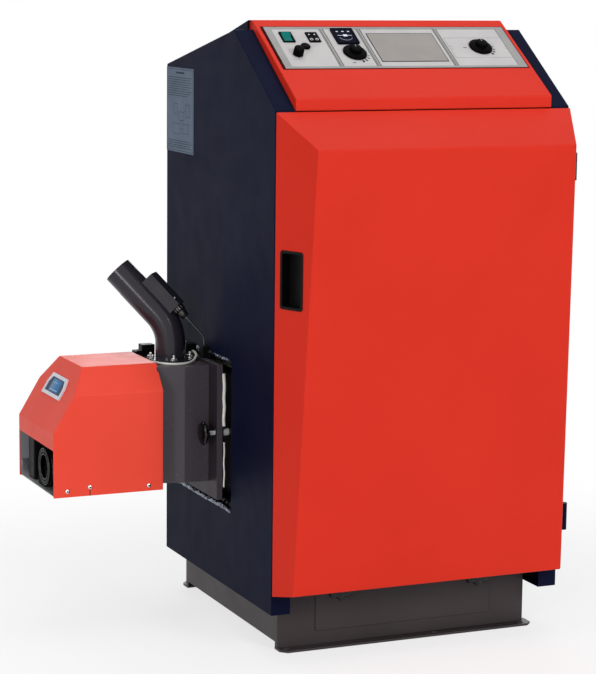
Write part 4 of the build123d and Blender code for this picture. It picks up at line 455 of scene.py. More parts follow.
def placeAt(origin, xDir, zDir):
    # Local frame in mm: columns are its three directions, shown in metres
    x = Vector(xDir).normalized()
    z = Vector(zDir).normalized()
    x = (x - z * x.dot(z)).normalized()
    y = z.cross(x)
    grid = Matrix((x, y, z)).transposed().to_4x4()
    return Matrix.Translation(Vector(origin) * mm) @ grid @ Matrix.Scale(mm, 4)


def back(depth):
    # Depth behind the casing's front to the shared frame's y, in mm
    return depth - 313.25


def addBlock(form, place, low, high, soft=0.0):
    # Box between two corners of a local frame, its edges rounded by soft mm
    size = Vector(high) - Vector(low)
    middle = (Vector(high) + Vector(low)) / 2
    stretch = Matrix.Translation(middle) @ Matrix.Diagonal((*size, 1.0))
    verts = bmesh.ops.create_cube(form, size=1.0, matrix=stretch)["verts"]
    if soft > 0:
        edges = list({edge for vert in verts for edge in vert.link_edges})
        rounded = bmesh.ops.bevel(form, geom=edges, offset=soft, segments=2, profile=0.5,
                                  affect="EDGES", material=-1)
        verts = list({vert for face in rounded["faces"] for vert in face.verts}
                     | {vert for vert in verts if vert.is_valid})
    bmesh.ops.transform(form, matrix=place, verts=verts)


def joinPart(form, part, place):
    # Closes a part's open ends, turns its faces outwards and adds it to a form in a local frame
    rims = [edge for edge in part.edges if edge.is_boundary]
    if rims:
        bmesh.ops.edgeloop_fill(part, edges=rims)
    bmesh.ops.recalc_face_normals(part, faces=part.faces[:])
    bmesh.ops.transform(part, matrix=place, verts=part.verts[:])
    partMesh = bpy.data.meshes.new("part")
    part.to_mesh(partMesh)
    part.free()
    form.from_mesh(partMesh)
    bpy.data.meshes.remove(partMesh)


def spinChain(chain, count, closed=False):
    # Full turn of a chain of (along, radius) points about the local z axis
    part = bmesh.new()
    verts = [part.verts.new((radius, 0.0, along)) for along, radius in chain]
    pairs = list(zip(verts, verts[1:])) + ([(verts[-1], verts[0])] if closed else [])
    edges = [part.edges.new(pair) for pair in pairs]
    bmesh.ops.spin(part, geom=verts + edges, cent=(0, 0, 0), axis=(0, 0, 1), angle=2 * math.pi,
                   steps=count, use_merge=True)
    return part


def addRings(form, place, profile, count=40, lobes=0, wave=0.0, centre=(0.0, 0.0)):
    # Turned form of (along, radius) points, with a lobed outline where wave is given
    part = spinChain(profile, count)
    for vert in part.verts:
        reach = 1 + wave * math.cos(lobes * math.atan2(vert.co.y, vert.co.x))
        vert.co.x *= reach
        vert.co.y *= reach
    joinPart(form, part, place @ Matrix.Translation((*centre, 0.0)))


def addTorus(form, place, radius, thick, centre=(0.0, 0.0), along=0.0, count=48, around=8):
    # Ring of round wire about a local axis
    angles = [2 * math.pi * step / around for step in range(around)]
    wire = [(along + thick * math.sin(angle), radius + thick * math.cos(angle)) for angle in angles]
    joinPart(form, spinChain(wire, count, True), place @ Matrix.Translation((*centre, 0.0)))


def addTube(form, path, radius, count=12):
    # Round bar: a circle extruded along points given in mm in the shared frame
    part = bmesh.new()
    points = [Vector(p) * mm for p in path]
    quarter = Matrix.Rotation(math.radians(-90), 4, "Z")
    side = here = None
    for index, point in enumerate(points):
        ahead = points[min(index + 1, len(points) - 1)] - points[max(index - 1, 0)]
        ahead.normalize()
        if side is None:
            side = ahead.orthogonal().normalized()
        side = (side - ahead * side.dot(ahead)).normalized()
        last = here
        here = Matrix.Translation(point) @ Matrix((side, ahead.cross(side), ahead)).transposed().to_4x4()
        if last is None:
            bmesh.ops.create_circle(part, cap_ends=False, segments=count, radius=radius * mm,
                                    matrix=here @ quarter)
            edges = part.edges[:]
            continue
        grown = bmesh.ops.extrude_edge_only(part, edges=edges)["geom"]
        ring = {item for item in grown if isinstance(item, bmesh.types.BMVert)}
        edges = [item for item in grown if isinstance(item, bmesh.types.BMEdge) and set(item.verts) <= ring]
        bmesh.ops.transform(part, matrix=here @ last.inverted(), verts=list(ring))
    joinPart(form, part, Matrix.Identity(4))


slopePlan = {"origin": (0, -314.75, 1070), "normal": (0, -0.54301, 0.83973)}
slope = placeAt(slopePlan["origin"], (1, 0, 0), slopePlan["normal"])
sharedFrame = Matrix.Scale(mm, 4)


def slopeBlocks(name, finishName, blocks, body="boiler", soft=0.0):
    # Flat blocks on the console slope: (across, up, out) lows and highs
    form = bmesh.new()
    for low, high in blocks:
        addBlock(form, slope, low, high, soft)
    return placePiece(name, form, finishName, body)


def outline(left, low, right, high, wide, base, top):
    # Four blocks that make a thin rectangle
    return [((left, low, base), (right, low + wide, top)), ((left, high - wide, base), (right, high, top)),
            ((left, low + wide, base), (left + wide, high - wide, top)),
            ((right - wide, low + wide, base), (right, high - wide, top))]


# Console frame: dark joint round it as painted shadow of the gap, thin dark lines beside the dividers and
# round the plates
framePlan = {"left": -260.0, "right": 260.0, "low": 95.0, "high": 232.0, "joint": 2.2, "strip": 3.4,
             "dividers": (-137.5, -59.0, 107.0), "half": 2.6, "line": 0.9, "ends": (100.5, 226.5),
             "plates": (-243.4, 99.6, 243.4, 227.4)}
joint, line = framePlan["joint"], framePlan["line"]
blocks = outline(framePlan["left"] - joint, framePlan["low"] - joint, framePlan["right"] + joint,
                 framePlan["high"] + joint, joint, -0.5, 0.5)
blocks.append(((framePlan["left"] - 0.2, framePlan["low"], -0.4),
               (framePlan["left"] + framePlan["strip"], framePlan["high"], 1.12)))
slopeBlocks("consoleJoint", "jointShadow", blocks)
blocks = []
for middle in framePlan["dividers"]:
    for side in (-1, 1):
        near = middle + side * framePlan["half"]
        start, stop = framePlan["ends"]
        blocks.append(((near - line / 2, start, -0.4), (near + line / 2, stop, 1.15)))
blocks += outline(*framePlan["plates"], line, -0.6, 0.6)
slopeBlocks("plateJoints", "markGrey", blocks)

# Dark outline round the regulator cover: painted shade along the cover's lip, drawn all round
windowPlan = {"left": -47.8, "low": 116.2, "right": 95.3, "high": 210.8, "line": 0.9, "depth": (-0.05, 1.12)}
slopeBlocks("windowOutline", "markGrey",
            outline(windowPlan["left"], windowPlan["low"], windowPlan["right"], windowPlan["high"],
                    windowPlan["line"], *windowPlan["depth"]))

# Right plate: thin printed rectangle with a bracket mark at the middle of each end
printPlan = {"left": 116.0, "low": 128.5, "right": 244.0, "high": 196.5, "line": 0.7, "bracket": 4.0,
             "long": 7.0, "half": 0.4, "depth": (-0.15, 0.08)}
under, over = printPlan["depth"]
blocks = outline(printPlan["left"], printPlan["low"], printPlan["right"], printPlan["high"],
                 printPlan["line"], under, over)
middle = (printPlan["low"] + printPlan["high"]) / 2
for edge, way in ((printPlan["left"], 1), (printPlan["right"], -1)):
    near, far = sorted((edge, edge + way * printPlan["long"]))
    for rise in (-1, 1):
        foot = middle + rise * printPlan["bracket"]
        blocks.append(((near, foot - printPlan["half"], under), (far, foot + printPlan["half"], over)))
slopeBlocks("platePrint", "markFaint", blocks)

# Scale marks beside the two control knobs: ticks that grow clockwise and one short dash
scalePlan = {"knobs": ((-95.5, 145.0, -18, (-12.0, -31.0)), (183.5, 162.5, 6, (-34.0, 0.0))), "reach": 28.4,
             "ticks": ((0, 1.6), (18, 2.6), (36, 3.8), (54, 5.0)), "long": 5.4, "dash": (3.5, 0.9),
             "depth": (-0.15, 0.1)}
under, over = scalePlan["depth"]
near, far = (scalePlan["reach"] + way * scalePlan["long"] / 2 for way in (-1, 1))
halfLong, halfWide = scalePlan["dash"]
form = bmesh.new()
for across, up, first, (dashAcross, dashUp) in scalePlan["knobs"]:
    for turned, wide in scalePlan["ticks"]:
        angle = math.radians(first - turned)
        ray = placeAt(slope @ Vector((across, up, 0)) / mm,
                      slope.to_3x3() @ Vector((math.cos(angle), math.sin(angle), 0)), slopePlan["normal"])
        addBlock(form, ray, (near, -wide / 2, under), (far, wide / 2, over))
    addBlock(form, slope, (across + dashAcross - halfLong, up + dashUp - halfWide, under),
             (across + dashAcross + halfLong, up + dashUp + halfWide, over))
placePiece("knobScales", form, "markGrey", "boiler")

# Control knobs: round skirt, knurled grip and a pointer line
knobPlan = {"at": {"boiler_knob": (-95.5, 145.0), "pump_knob": (183.5, 162.5)},
            "skirt": [(-26, 3.0), (0.4, 3.0), (0.5, 23.2), (1.2, 24.0), (3.6, 23.6), (5.2, 21.6), (6.2, 16.5),
                      (6.5, 13.2), (6.6, 10.0)],
            "grip": [(6.2, 13.4), (7.0, 12.0), (12.6, 11.5), (13.8, 10.7), (14.1, 9.6)],
            "ridges": 30, "wave": 0.035, "pointer": ((-0.6, 2.5, 13.9), (0.6, 9.0, 14.25))}
for name, (across, up) in knobPlan["at"].items():
    form = bmesh.new()
    addRings(form, slope, knobPlan["skirt"], 64, centre=(across, up))
    addRings(form, slope, knobPlan["grip"], knobPlan["ridges"] * 6, knobPlan["ridges"], knobPlan["wave"],
             (across, up))
    placePiece(name + "Fine", form, "knobBlack", name, (name,), 46.0)
    low, high = (Vector(corner) + Vector((across, up, 0)) for corner in knobPlan["pointer"])
    slopeBlocks(name + "Pointer", "markPale", [(low, high)], name)

# Capped round controls: the tall one of the safety thermostat and the flat one of the fuse
capPlan = {"safety_cap": {"at": (-215.7, 141.2), "rings": [(-12, 5.8), (0.2, 5.8), (0.3, 9.5), (1.0, 10.0),
                                                           (14.4, 9.8), (15.8, 9.1), (16.4, 7.8)]},
           "fuse_cap": {"at": (-191.0, 166.5), "rings": [(-24, 5.8), (0.2, 5.8), (0.3, 9.1), (0.8, 9.5),
                                                         (2.8, 9.4), (3.6, 8.8), (3.9, 7.6)],
                        "slot": ((-197.0, 165.7, 3.7), (-185.0, 167.3, 4.0))}}
for name, plan in capPlan.items():
    form = bmesh.new()
    addRings(form, slope, plan["rings"], 168, 28, 0.018, plan["at"])
    placePiece(name + "Fine", form, "knobBlack", name, (name,), 46.0)
# The fuse cap's slot is a dark block: painted shade in the slot
slopeBlocks("fuseCapSlotShade", "markGrey", [capPlan["fuse_cap"]["slot"]], "fuse_cap")

# Rocker switch: raised rim round the rocker
rockerPlan = {"rim": (-231.0, 181.0, -206.0, 214.0), "wide": 2.2, "depth": (1.4, 2.8), "soft": 0.4}
slopeBlocks("switchRim", "knobBlack", outline(*rockerPlan["rim"], rockerPlan["wide"], *rockerPlan["depth"]),
            soft=rockerPlan["soft"])

# Signal block: two pale rings below two small marks, inside a low rim
signalPlan = {"rings": ((-170.2, 189.5), (-158.8, 189.5)), "marks": ((-170.2, 205.5), (-158.8, 205.5)),
              "radius": 2.7, "wire": 0.5, "face": 1.9, "dot": [(1.5, 1.6), (2.1, 1.6), (2.5, 0.9)],
              "rim": (-176.5, 181.0, -152.5, 213.0), "wide": 1.4, "depth": (1.2, 2.4), "soft": 0.3}
form = bmesh.new()
for spot in signalPlan["rings"]:
    addTorus(form, slope, signalPlan["radius"], signalPlan["wire"], spot, signalPlan["face"])
for spot in signalPlan["marks"]:
    addRings(form, slope, signalPlan["dot"], 20, centre=spot)
placePiece("signalMarks", form, "markWhite", "boiler")
slopeBlocks("signalRim", "knobBlack", outline(*signalPlan["rim"], signalPlan["wide"], *signalPlan["depth"]),
            soft=signalPlan["soft"])

# Thermometer: raised rim, three marks, a pointer line with a bright middle and a scale arc
dialPlan = {"rim": (-120.0, 174.0, -74.0, 224.0), "wide": 2.6, "depth": (2.6, 4.6), "soft": 0.5, "face": 3.4,
            "marks": (-109.0, -97.0, -85.0), "markHalf": 2.2, "markUp": (211.5, 214.5), "ink": 0.25,
            "pointer": (-112.0, 199.4, -82.0, 200.6), "hub": (-100.0, 196.5, -92.0, 203.0),
            "arc": (-97.0, 199.0), "reach": 15.0, "wire": 0.5}
slopeBlocks("dialRim", "knobBlack", outline(*dialPlan["rim"], dialPlan["wide"], *dialPlan["depth"]),
            soft=dialPlan["soft"])
face = dialPlan["face"]
low, high = dialPlan["markUp"]
half = dialPlan["markHalf"]
flats = [(across - half, low, across + half, high) for across in dialPlan["marks"]]
blocks = [((left, low, face), (right, high, face + dialPlan["ink"]))
          for left, low, right, high in (*flats, dialPlan["pointer"])]
left, low, right, high = dialPlan["hub"]
blocks.append(((left, low, face), (right, high, face + dialPlan["ink"] + 0.05)))
slopeBlocks("dialMarks", "markWhite", blocks)
middle = Vector((*dialPlan["arc"], face))
rays = [Matrix.Rotation(math.radians(turned), 3, "Z") @ Vector((1, 0, 0)) for turned in range(205, 340, 9)]
form = bmesh.new()
addTube(form, [slope @ (middle + ray * dialPlan["reach"]) / mm for ray in rays], dialPlan["wire"], 8)
placePiece("dialArc", form, "markPale", "boiler")
print("console pieces placed")

# Mineral wool mats: cell is the mesh size, lump the depth of its unevenness and patch its width, in mm
woolPlan = {"cell": 16.0, "lump": 1.6, "patch": 30.0, "share": 0.6}


def addSlab(form, low, high, holes=()):
    # A mat: a grid cut out at the holes, extruded through its thin side and then made uneven
    low, high = Vector(low), Vector(high)
    size = high - low
    thin = min(range(3), key=lambda axis: size[axis])
    axes = ((thin + 1) % 3, (thin + 2) % 3, thin)
    counts = [max(1, round(size[axis] / woolPlan["cell"])) for axis in axes]
    spread = Matrix([[size[row] if row == axis else 0.0 for axis in axes] for row in range(3)]).to_4x4()
    foot = (low + high) / 2
    foot[thin] = low[thin]
    part = bmesh.new()
    bmesh.ops.create_grid(part, x_segments=counts[0], y_segments=counts[1], size=0.5,
                          matrix=Matrix.Translation(foot) @ spread)
    middles = {face: face.calc_center_median() for face in part.faces}
    cut = [face for face, middle in middles.items()
           if any(all(span[0] < middle[axis] < span[1] for axis, span in hole.items()) for hole in holes)]
    bmesh.ops.delete(part, geom=cut, context="FACES")
    layer = part.faces[:]
    step = Vector([size[axis] / counts[2] if axis == thin else 0.0 for axis in range(3)])
    for turned in range(counts[2]):
        grown = bmesh.ops.extrude_face_region(part, geom=layer)["geom"]
        if turned:
            bmesh.ops.delete(part, geom=layer, context="FACES")
        layer = [item for item in grown if isinstance(item, bmesh.types.BMFace)]
        bmesh.ops.translate(part, vec=step, verts=list({vert for face in layer for vert in face.verts}))
    for vert in part.verts:
        lump = noise.noise_vector(vert.co / woolPlan["patch"]) * woolPlan["lump"]
        for axis in range(3):
            inward = (vert.co[axis] < low[axis] + 0.01) - (vert.co[axis] > high[axis] - 0.01)
            vert.co[axis] += inward * (woolPlan["lump"] + lump[axis]) * woolPlan["share"]
    joinPart(form, part, sharedFrame)


# Casing wool: one blanket per side, cut out for the burner's window, and rear, top and front mats
matPlan = {"left": ((-305.5, back(63), 152), (-264, back(573.5), 1041)),
           "right": ((264, back(63), 152), (305.5, back(573.5), 1041)),
           "rear": ((-262, back(551), 152), (262, back(573.5), 1041)),
           "top": ((-262, back(75), 1016), (262, back(546), 1041)),
           "front": ((-262, back(63.5), 152), (262, back(71.5), 1041))}
pipePlan = ((0.0, 913.0, 88.0), (-180.0, 950.0, 32.0), (-180.0, 215.0, 32.0), (180.0, 195.0, 16.0))
matHoles = {"left": [{1: (back(216), back(514)), 2: (252, 536)}],
            "rear": [{0: (x - r, x + r), 2: (z - r, z + r)} for x, z, r in pipePlan],
            "front": [{0: (-176, 176), 2: (204, 566)}]}
form = bmesh.new()
for side, (low, high) in matPlan.items():
    addSlab(form, low, high, matHoles.get(side, []))
placePiece("casingWool", form, "wool", "boiler", ("casing_insulation",), 60.0)

# Door wool: a mat inside the door's tray, open for the grip's cup
doorMatPlan = {"low": (-283.0, back(-45), 149.8), "high": (283.0, back(-6.2), 1008),
               "cup": {0: (-284, -254), 2: (676, 800)}}
form = bmesh.new()
addSlab(form, doorMatPlan["low"], doorMatPlan["high"], [doorMatPlan["cup"]])
placePiece("doorWool", form, "wool", "front_door", ("door_insulation",), 60.0)

# Foil rolls at the window's edges: ends, radius, finish, depth of the creases and sway, in mm
# The dark rolls are foil with painted shade, and the thin top streak is a painted highlight
foilPlan = {
    "foilTop": ((-307.2, back(214), 545.0), (-307.2, back(517), 544.5), 6.8, "foilPaintedShade", 2.4, 2.0),
    "foilTopStreak": ((-312.6, back(228), 548.6), (-312.6, back(508), 547.8), 2.6, "foil", 1.5, 1.6),
    "foilBottom": ((-307.8, back(213), 247.5), (-307.8, back(508), 247.0), 4.6, "foil", 2.0, 2.0),
    "foilBottomInner": ((-296.0, back(216), 253.5), (-296.0, back(508), 253.0), 7.0, "foilPaintedShade", 3.0, 2.0),
    "foilRear": ((-304.0, back(514), 254.0), (-304.0, back(514), 536.0), 4.0, "foilPaintedShade", 1.8, 2.0),
}
creasePlan = {"runs": 70, "swayLength": 28.0, "creaseLength": 5.0}
for name, (start, end, radius, finishName, crease, sway) in foilPlan.items():
    path = []
    for step in range(creasePlan["runs"] + 1):
        spot = Vector(start).lerp(Vector(end), step / creasePlan["runs"])
        push = noise.noise_vector(spot / creasePlan["swayLength"]) * sway
        path.append(spot + Vector((push.x * 0.5, 0, push.z)))
    form = bmesh.new()
    addTube(form, path, radius, 14)
    for vert in form.verts:
        vert.co += noise.noise_vector(vert.co / (creasePlan["creaseLength"] * mm)) * crease * mm
    placePiece(name, form, finishName, "boiler", crisp=28.0)
print("wool and foil placed")


def loopPath(middle, halfWide, halfTall, corner, steps):
    # Rounded rectangle of points in a plane of constant x, closed on itself
    path = []
    for sideY, sideZ, first in ((1, 1, 0), (-1, 1, 90), (-1, -1, 180), (1, -1, 270)):
        centre = (middle[1] + sideY * (halfWide - corner), middle[2] + sideZ * (halfTall - corner))
        for step in range(steps + 1):
            angle = math.radians(first + 90 * step / steps)
            path.append((middle[0], centre[0] + corner * math.cos(angle),
                         centre[1] + corner * math.sin(angle)))
    return path + [path[0]]


# Rope seal: braided loop in front of the throat, with the front leg squeezed out past the plate
ropePlan = {"radius": 6.6, "middle": (-319.6, back(366), 402.0), "halfWide": 103.0, "halfTall": 111.0,
            "corner": 14.0, "steps": 8, "lips": ((415, 523, 3.2, -315.8), (292, 386, 1.6, -315.2)),
            "lipDepth": 233.4}
form = bmesh.new()
ropeLoop = loopPath(*(ropePlan[key] for key in ("middle", "halfWide", "halfTall", "corner", "steps")))
addTube(form, ropeLoop, ropePlan["radius"], 14)
for low, high, thick, out in ropePlan["lips"]:
    lip = [(out + 0.5 * math.sin(z / 7.0), back(ropePlan["lipDepth"] + 0.4 * math.sin(z / 13.0)), z)
           for z in range(low, high, 5)]
    addTube(form, lip, thick, 12)
placePiece("burnerRopeBraid", form, "rope", "burner", ("burner_rope",), 60.0)

# Burner display: lit field inside the dark border, with two pale lines
displayPlan = {"origin": (-661.7, back(365), 419.0), "normal": (-0.859, 0, 0.511),
               "field": ((-27.0, 71.0, 1.2), (27.0, 97.0, 2.05)), "soft": 0.3,
               "lines": (((-23.0, 74.0, 1.9), (22.0, 75.6, 2.25)), ((-23.0, 89.0, 1.9), (4.0, 90.2, 2.25)))}
displayFace = placeAt(displayPlan["origin"], (0, -1, 0), displayPlan["normal"])
form = bmesh.new()
addBlock(form, displayFace, *displayPlan["field"], displayPlan["soft"])
placePiece("displayField", form, "screenBlue", "burner")
form = bmesh.new()
for low, high in displayPlan["lines"]:
    addBlock(form, displayFace, low, high)
placePiece("displayLines", form, "screenPale", "burner")

# Cover screws: domed heads with a hexagon recess drawn as a dark disc of painted shade, on both sides, and
# the slit below the middle one as a dark strip of painted shade
coverPlan = {"corner": (-661.7, 293.0), "sides": ((back(250.0), -1), (back(479.0), 1)),
             "screws": ((27.7, 12.0), (73.7, 17.0), (194.7, 11.0)),
             "head": [(-1.5, 2.0), (0.0, 2.0), (0.05, 4.6), (0.8, 4.55), (1.7, 3.9), (2.3, 3.0), (2.6, 1.8)],
             "recess": [(2.1, 1.7), (2.66, 1.7)], "slit": (-588.9, -587.1, 293.4, 305.6)}
screwHeads = bmesh.new()
recessShade = bmesh.new()
slitShade = bmesh.new()
left, right, low, high = coverPlan["slit"]
for y, way in coverPlan["sides"]:
    for along, up in coverPlan["screws"]:
        spot = (coverPlan["corner"][0] + along, y, coverPlan["corner"][1] + up)
        seat = placeAt(spot, (1, 0, 0), (0, way, 0))
        addRings(screwHeads, seat, coverPlan["head"], 28)
        addRings(recessShade, seat, coverPlan["recess"], 6)
    near, far = sorted((y + way * 0.12, y - way * 0.4))
    addBlock(slitShade, sharedFrame, (left, near, low), (right, far, high))
placePiece("coverScrewSocketShade", recessShade, "markGrey", "burner")
placePiece("coverSlitShade", slitShade, "markGrey", "burner")

# Inside of the cover's far wall: unpainted grey primer
primerPlan = {"low": (-659.8, back(476.6), 299.0), "high": (-441.0, back(477.35), 414.0), "soft": 0.2}
form = bmesh.new()
addBlock(form, sharedFrame, primerPlan["low"], primerPlan["high"], primerPlan["soft"])
placePiece("coverPrimer", form, "primerGrey", "burner")

# Flange bolts: washers, hexagon heads and bright studs through the elbow's foot
boltPlan = {"middle": (-381.0, back(363.0)), "circle": 40.0, "turn": -10.0, "seat": 536.0,
            "washer": [(0.0, 8.0), (1.0, 8.0)], "head": [(1.0, 6.3), (1.5, 6.9), (4.7, 6.9), (5.2, 6.2)],
            "stud": [(5.2, 3.1), (9.6, 3.1), (10.4, 2.2)]}
for step in range(4):
    angle = math.radians(boltPlan["turn"] + 90 * step)
    ray = Vector((math.cos(angle), math.sin(angle), 0))
    seat = placeAt(Vector((*boltPlan["middle"], boltPlan["seat"])) + ray * boltPlan["circle"], ray, (0, 0, 1))
    for part, count in (("washer", 28), ("head", 6), ("stud", 18)):
        addRings(screwHeads, seat, boltPlan[part], count)
placePiece("burnerScrewHeads", screwHeads, "zincPlate", "burner", ("burner_screws",))


def ridges(first, count):
    # Ridges and grooves of an M10 stud with its pitch of 1.5 mm
    return [(first + 0.75 * turned, 5.0 if turned % 2 else 4.3) for turned in range(count)]


# Burner clamp: lobed star knob, threaded stud and the sleeve behind the plate, kept bright by a pale, barely
# metallic zinc as a painted highlight
starPlan = {"at": (-361.0, back(247.0), 400.5), "lobes": 8, "wave": 0.05,
            "star": [(0.0, 9.0), (0.6, 14.0), (1.4, 18.5), (3.0, 21.4), (5.0, 22.7), (8.0, 22.7),
                     (10.0, 21.2), (11.4, 18.0), (12.0, 13.0)],
            "hub": [(11.0, 11.0), (16.0, 10.0), (17.5, 8.6)], "sleeveAt": (-327.0, back(247.0), 400.5),
            "sleeve": [(12.5, 6.4), (13.2, 7.6), (24.5, 7.6), (25.2, 6.8)]}
knobFace = placeAt(starPlan["at"], (0, 1, 0), (1, 0, 0))
form = bmesh.new()
addRings(form, knobFace, starPlan["star"], 128, starPlan["lobes"], starPlan["wave"])
addRings(form, knobFace, starPlan["hub"], 40)
placePiece("burnerStarKnob", form, "bakelite", "burner_knob", ("burner_knob",), 46.0)
form = bmesh.new()
addRings(form, knobFace, [(17.0, 4.6)] + ridges(17.4, 54), 24)
placePiece("burnerStud", form, "zincPlate", "burner_knob", crisp=60.0)
form = bmesh.new()
addRings(form, placeAt(starPlan["sleeveAt"], (0, 1, 0), (1, 0, 0)), starPlan["sleeve"], 32)
placePiece("sleeveCap", form, "zincPaintedHighlight", "boiler", crisp=40.0)

# Ash lid's star knobs and their studs
ashPlan = {"across": {"ash_knob_left": -150.0, "ash_knob_right": 150.0}, "face": back(27.0), "up": 125.0,
           "star": [(0.0, 11.0), (0.7, 18.0), (1.8, 24.0), (4.0, 26.6), (7.0, 27.2), (11.0, 27.2),
                    (14.0, 25.4), (15.5, 20.0), (16.0, 15.0)], "lobes": 8, "wave": 0.1}
for name, x in ashPlan["across"].items():
    seat = placeAt((x, ashPlan["face"], ashPlan["up"]), (1, 0, 0), (0, 1, 0))
    form = bmesh.new()
    addRings(form, seat, ashPlan["star"], 144, ashPlan["lobes"], ashPlan["wave"])
    placePiece(name + "Star", form, "bakelite", name, (name,), 46.0)
    form = bmesh.new()
    addRings(form, seat, [(15.5, 4.7)] + ridges(16.0, 35), 24)
    placePiece(name + "Stud", form, "zincPlate", name, crisp=60.0)

# Sensor box: seam under the lid as a dark block of painted shade, one bright screw, ribbed gland nut
legPlan = {"corner": (-381.0, back(363.0), 599.2), "axis": (-0.57206, 0.41563, 0.70711),
           "out": (0.57206, -0.41563, 0.70711)}
sensorPlan = {"seam": ((16.8, -18.15, 45.9), (100.15, 18.15, 46.5)), "soft": 0.1,
              "screwAt": (33.0, 11.0, 50.6), "screw": [(0.0, 2.6), (0.9, 2.5), (1.6, 1.6)],
              "glandAt": (17.0, 0, 37.0),
              "nut": [(0.2, 11.8), (0.6, 12.3), (7.6, 12.3), (8.2, 11.2), (8.4, 9.8)],
              "cap": [(8.3, 9.6), (10.0, 9.9), (17.0, 9.4), (21.0, 8.2), (24.0, 6.0), (25.2, 4.2)]}
legAxis, legOut = Vector(legPlan["axis"]), Vector(legPlan["out"])
sensorFace = placeAt(legPlan["corner"], legAxis, legOut)
form = bmesh.new()
addBlock(form, sensorFace, *sensorPlan["seam"], sensorPlan["soft"])
placePiece("sensorSeamShade", form, "markGrey", "burner")
form = bmesh.new()
screwSeat = placeAt(sensorFace @ Vector(sensorPlan["screwAt"]) / mm, legAxis, legOut)
addRings(form, screwSeat, sensorPlan["screw"], 20)
placePiece("sensorScrew", form, "zincPlate", "burner")
glandFace = placeAt(sensorFace @ Vector(sensorPlan["glandAt"]) / mm, legOut, -legAxis)
form = bmesh.new()
addRings(form, glandFace, sensorPlan["nut"], 96, 12, 0.035)
addRings(form, glandFace, sensorPlan["cap"], 48, 12, 0.03)
placePiece("sensorGlandRibs", form, "blackLead", "burner", crisp=46.0)

# Blower seen in the cover's open end: inlet guard rings, spokes and ribs on the scroll
fanPlan = {"at": (-650.0, back(347.0), 336.0), "rings": (24.8, 31.0, 35.6), "wire": 1.1, "spokes": 16,
           "spoke": ((25.5, -0.8, -0.3), (35.0, 0.8, 1.1)), "ribs": range(5, 52, 7), "shell": 37.6,
           "rib": 1.0}
fanFace = placeAt(fanPlan["at"], (0, 1, 0), (-1, 0, 0))
form = bmesh.new()
for radius in fanPlan["rings"]:
    addTorus(form, fanFace, radius, fanPlan["wire"], along=0.6)
for step in range(fanPlan["spokes"]):
    angle = 2 * math.pi * step / fanPlan["spokes"]
    ray = fanFace.to_3x3() @ Vector((math.cos(angle), math.sin(angle), 0))
    addBlock(form, placeAt(fanPlan["at"], ray, (-1, 0, 0)), *fanPlan["spoke"], 0.2)
placePiece("fanGuard", form, "fanBlack", "burner", crisp=40.0)
form = bmesh.new()
scrollSide = placeAt(fanPlan["at"], (0, 1, 0), (1, 0, 0))
for along in fanPlan["ribs"]:
    addTorus(form, scrollSide, fanPlan["shell"], fanPlan["rib"], along=float(along), count=64)
placePiece("fanRibs", form, "fanBlack", "burner", crisp=40.0)
print("burner pieces placed")

# Door inside: liner screws with washers, a pressed rim and the black gasket round it
linerPlan = {"face": back(-4.0), "left": -298.0, "right": 298.0, "low": 140.0, "high": 1033.0,
             "heights": range(150, 1030, 146), "across": (-180, -60, 60, 180),
             "screw": [(0.0, 5.6), (0.7, 5.6), (0.75, 3.9), (1.6, 3.7), (2.3, 2.8), (2.6, 1.4)],
             "gasket": ((-286, 152), (286, 152), (286, 1021), (-286, 1021), (-286, 152)), "thick": 2.6,
             "bead": (((-215, 260), (215, 268)), ((-215, 905), (215, 913)),
                      ((-223, 260), (-215, 913)), ((215, 260), (223, 913)))}
form = bmesh.new()
spots = [(x, z) for x in (linerPlan["left"], linerPlan["right"]) for z in linerPlan["heights"]]
spots += [(x, z) for z in (linerPlan["low"], linerPlan["high"]) for x in linerPlan["across"]]
for x, z in spots:
    addRings(form, placeAt((x, linerPlan["face"], z), (1, 0, 0), (0, 1, 0)), linerPlan["screw"], 24)
placePiece("linerScrews", form, "zincPlate", "front_door")
form = bmesh.new()
corners = [Vector((x, linerPlan["face"] + 1.6, z)) for x, z in linerPlan["gasket"]]
for start, stop in zip(corners, corners[1:]):
    addTube(form, [start.lerp(stop, step / 12) for step in range(13)], linerPlan["thick"], 10)
placePiece("doorGasket", form, "foamBlack", "front_door", crisp=60.0)
form = bmesh.new()
for low, high in linerPlan["bead"]:
    addBlock(form, sharedFrame, (low[0], linerPlan["face"] - 0.2, low[1]),
             (high[0], linerPlan["face"] + 1.4, high[1]), 0.7)
placePiece("linerBead", form, "galvanised", "front_door")

# Rear connections: rolled beads and seam on the flue spigot, threads in the sockets and rings round them
fluePlan = {"end": (0, back(636.0), 913.0), "radius": 75.2, "bead": 1.5, "beads": (9.0, 16.0),
            "seamFoot": (0, back(636.0), 838.0), "seam": ((1.0, -3.0, -0.6), (54.0, 3.0, 0.7))}
socketPlan = {"end": back(592.0), "sockets": ((-180.0, 950.0, 30.0, 22.4), (-180.0, 215.0, 30.0, 22.4),
                                              (180.0, 195.0, 13.0, 9.3)),
              "turns": 8, "first": 1.6, "pitch": 1.8, "ridge": 0.55, "rim": 0.8}
form = bmesh.new()
for along in fluePlan["beads"]:
    addTorus(form, placeAt(fluePlan["end"], (1, 0, 0), (0, -1, 0)), fluePlan["radius"], fluePlan["bead"],
             along=along, count=96)
addBlock(form, placeAt(fluePlan["seamFoot"], (0, -1, 0), (0, 0, -1)), *fluePlan["seam"], 0.5)
placePiece("flueBeads", form, "galvanised", "boiler", crisp=50.0)
form = bmesh.new()
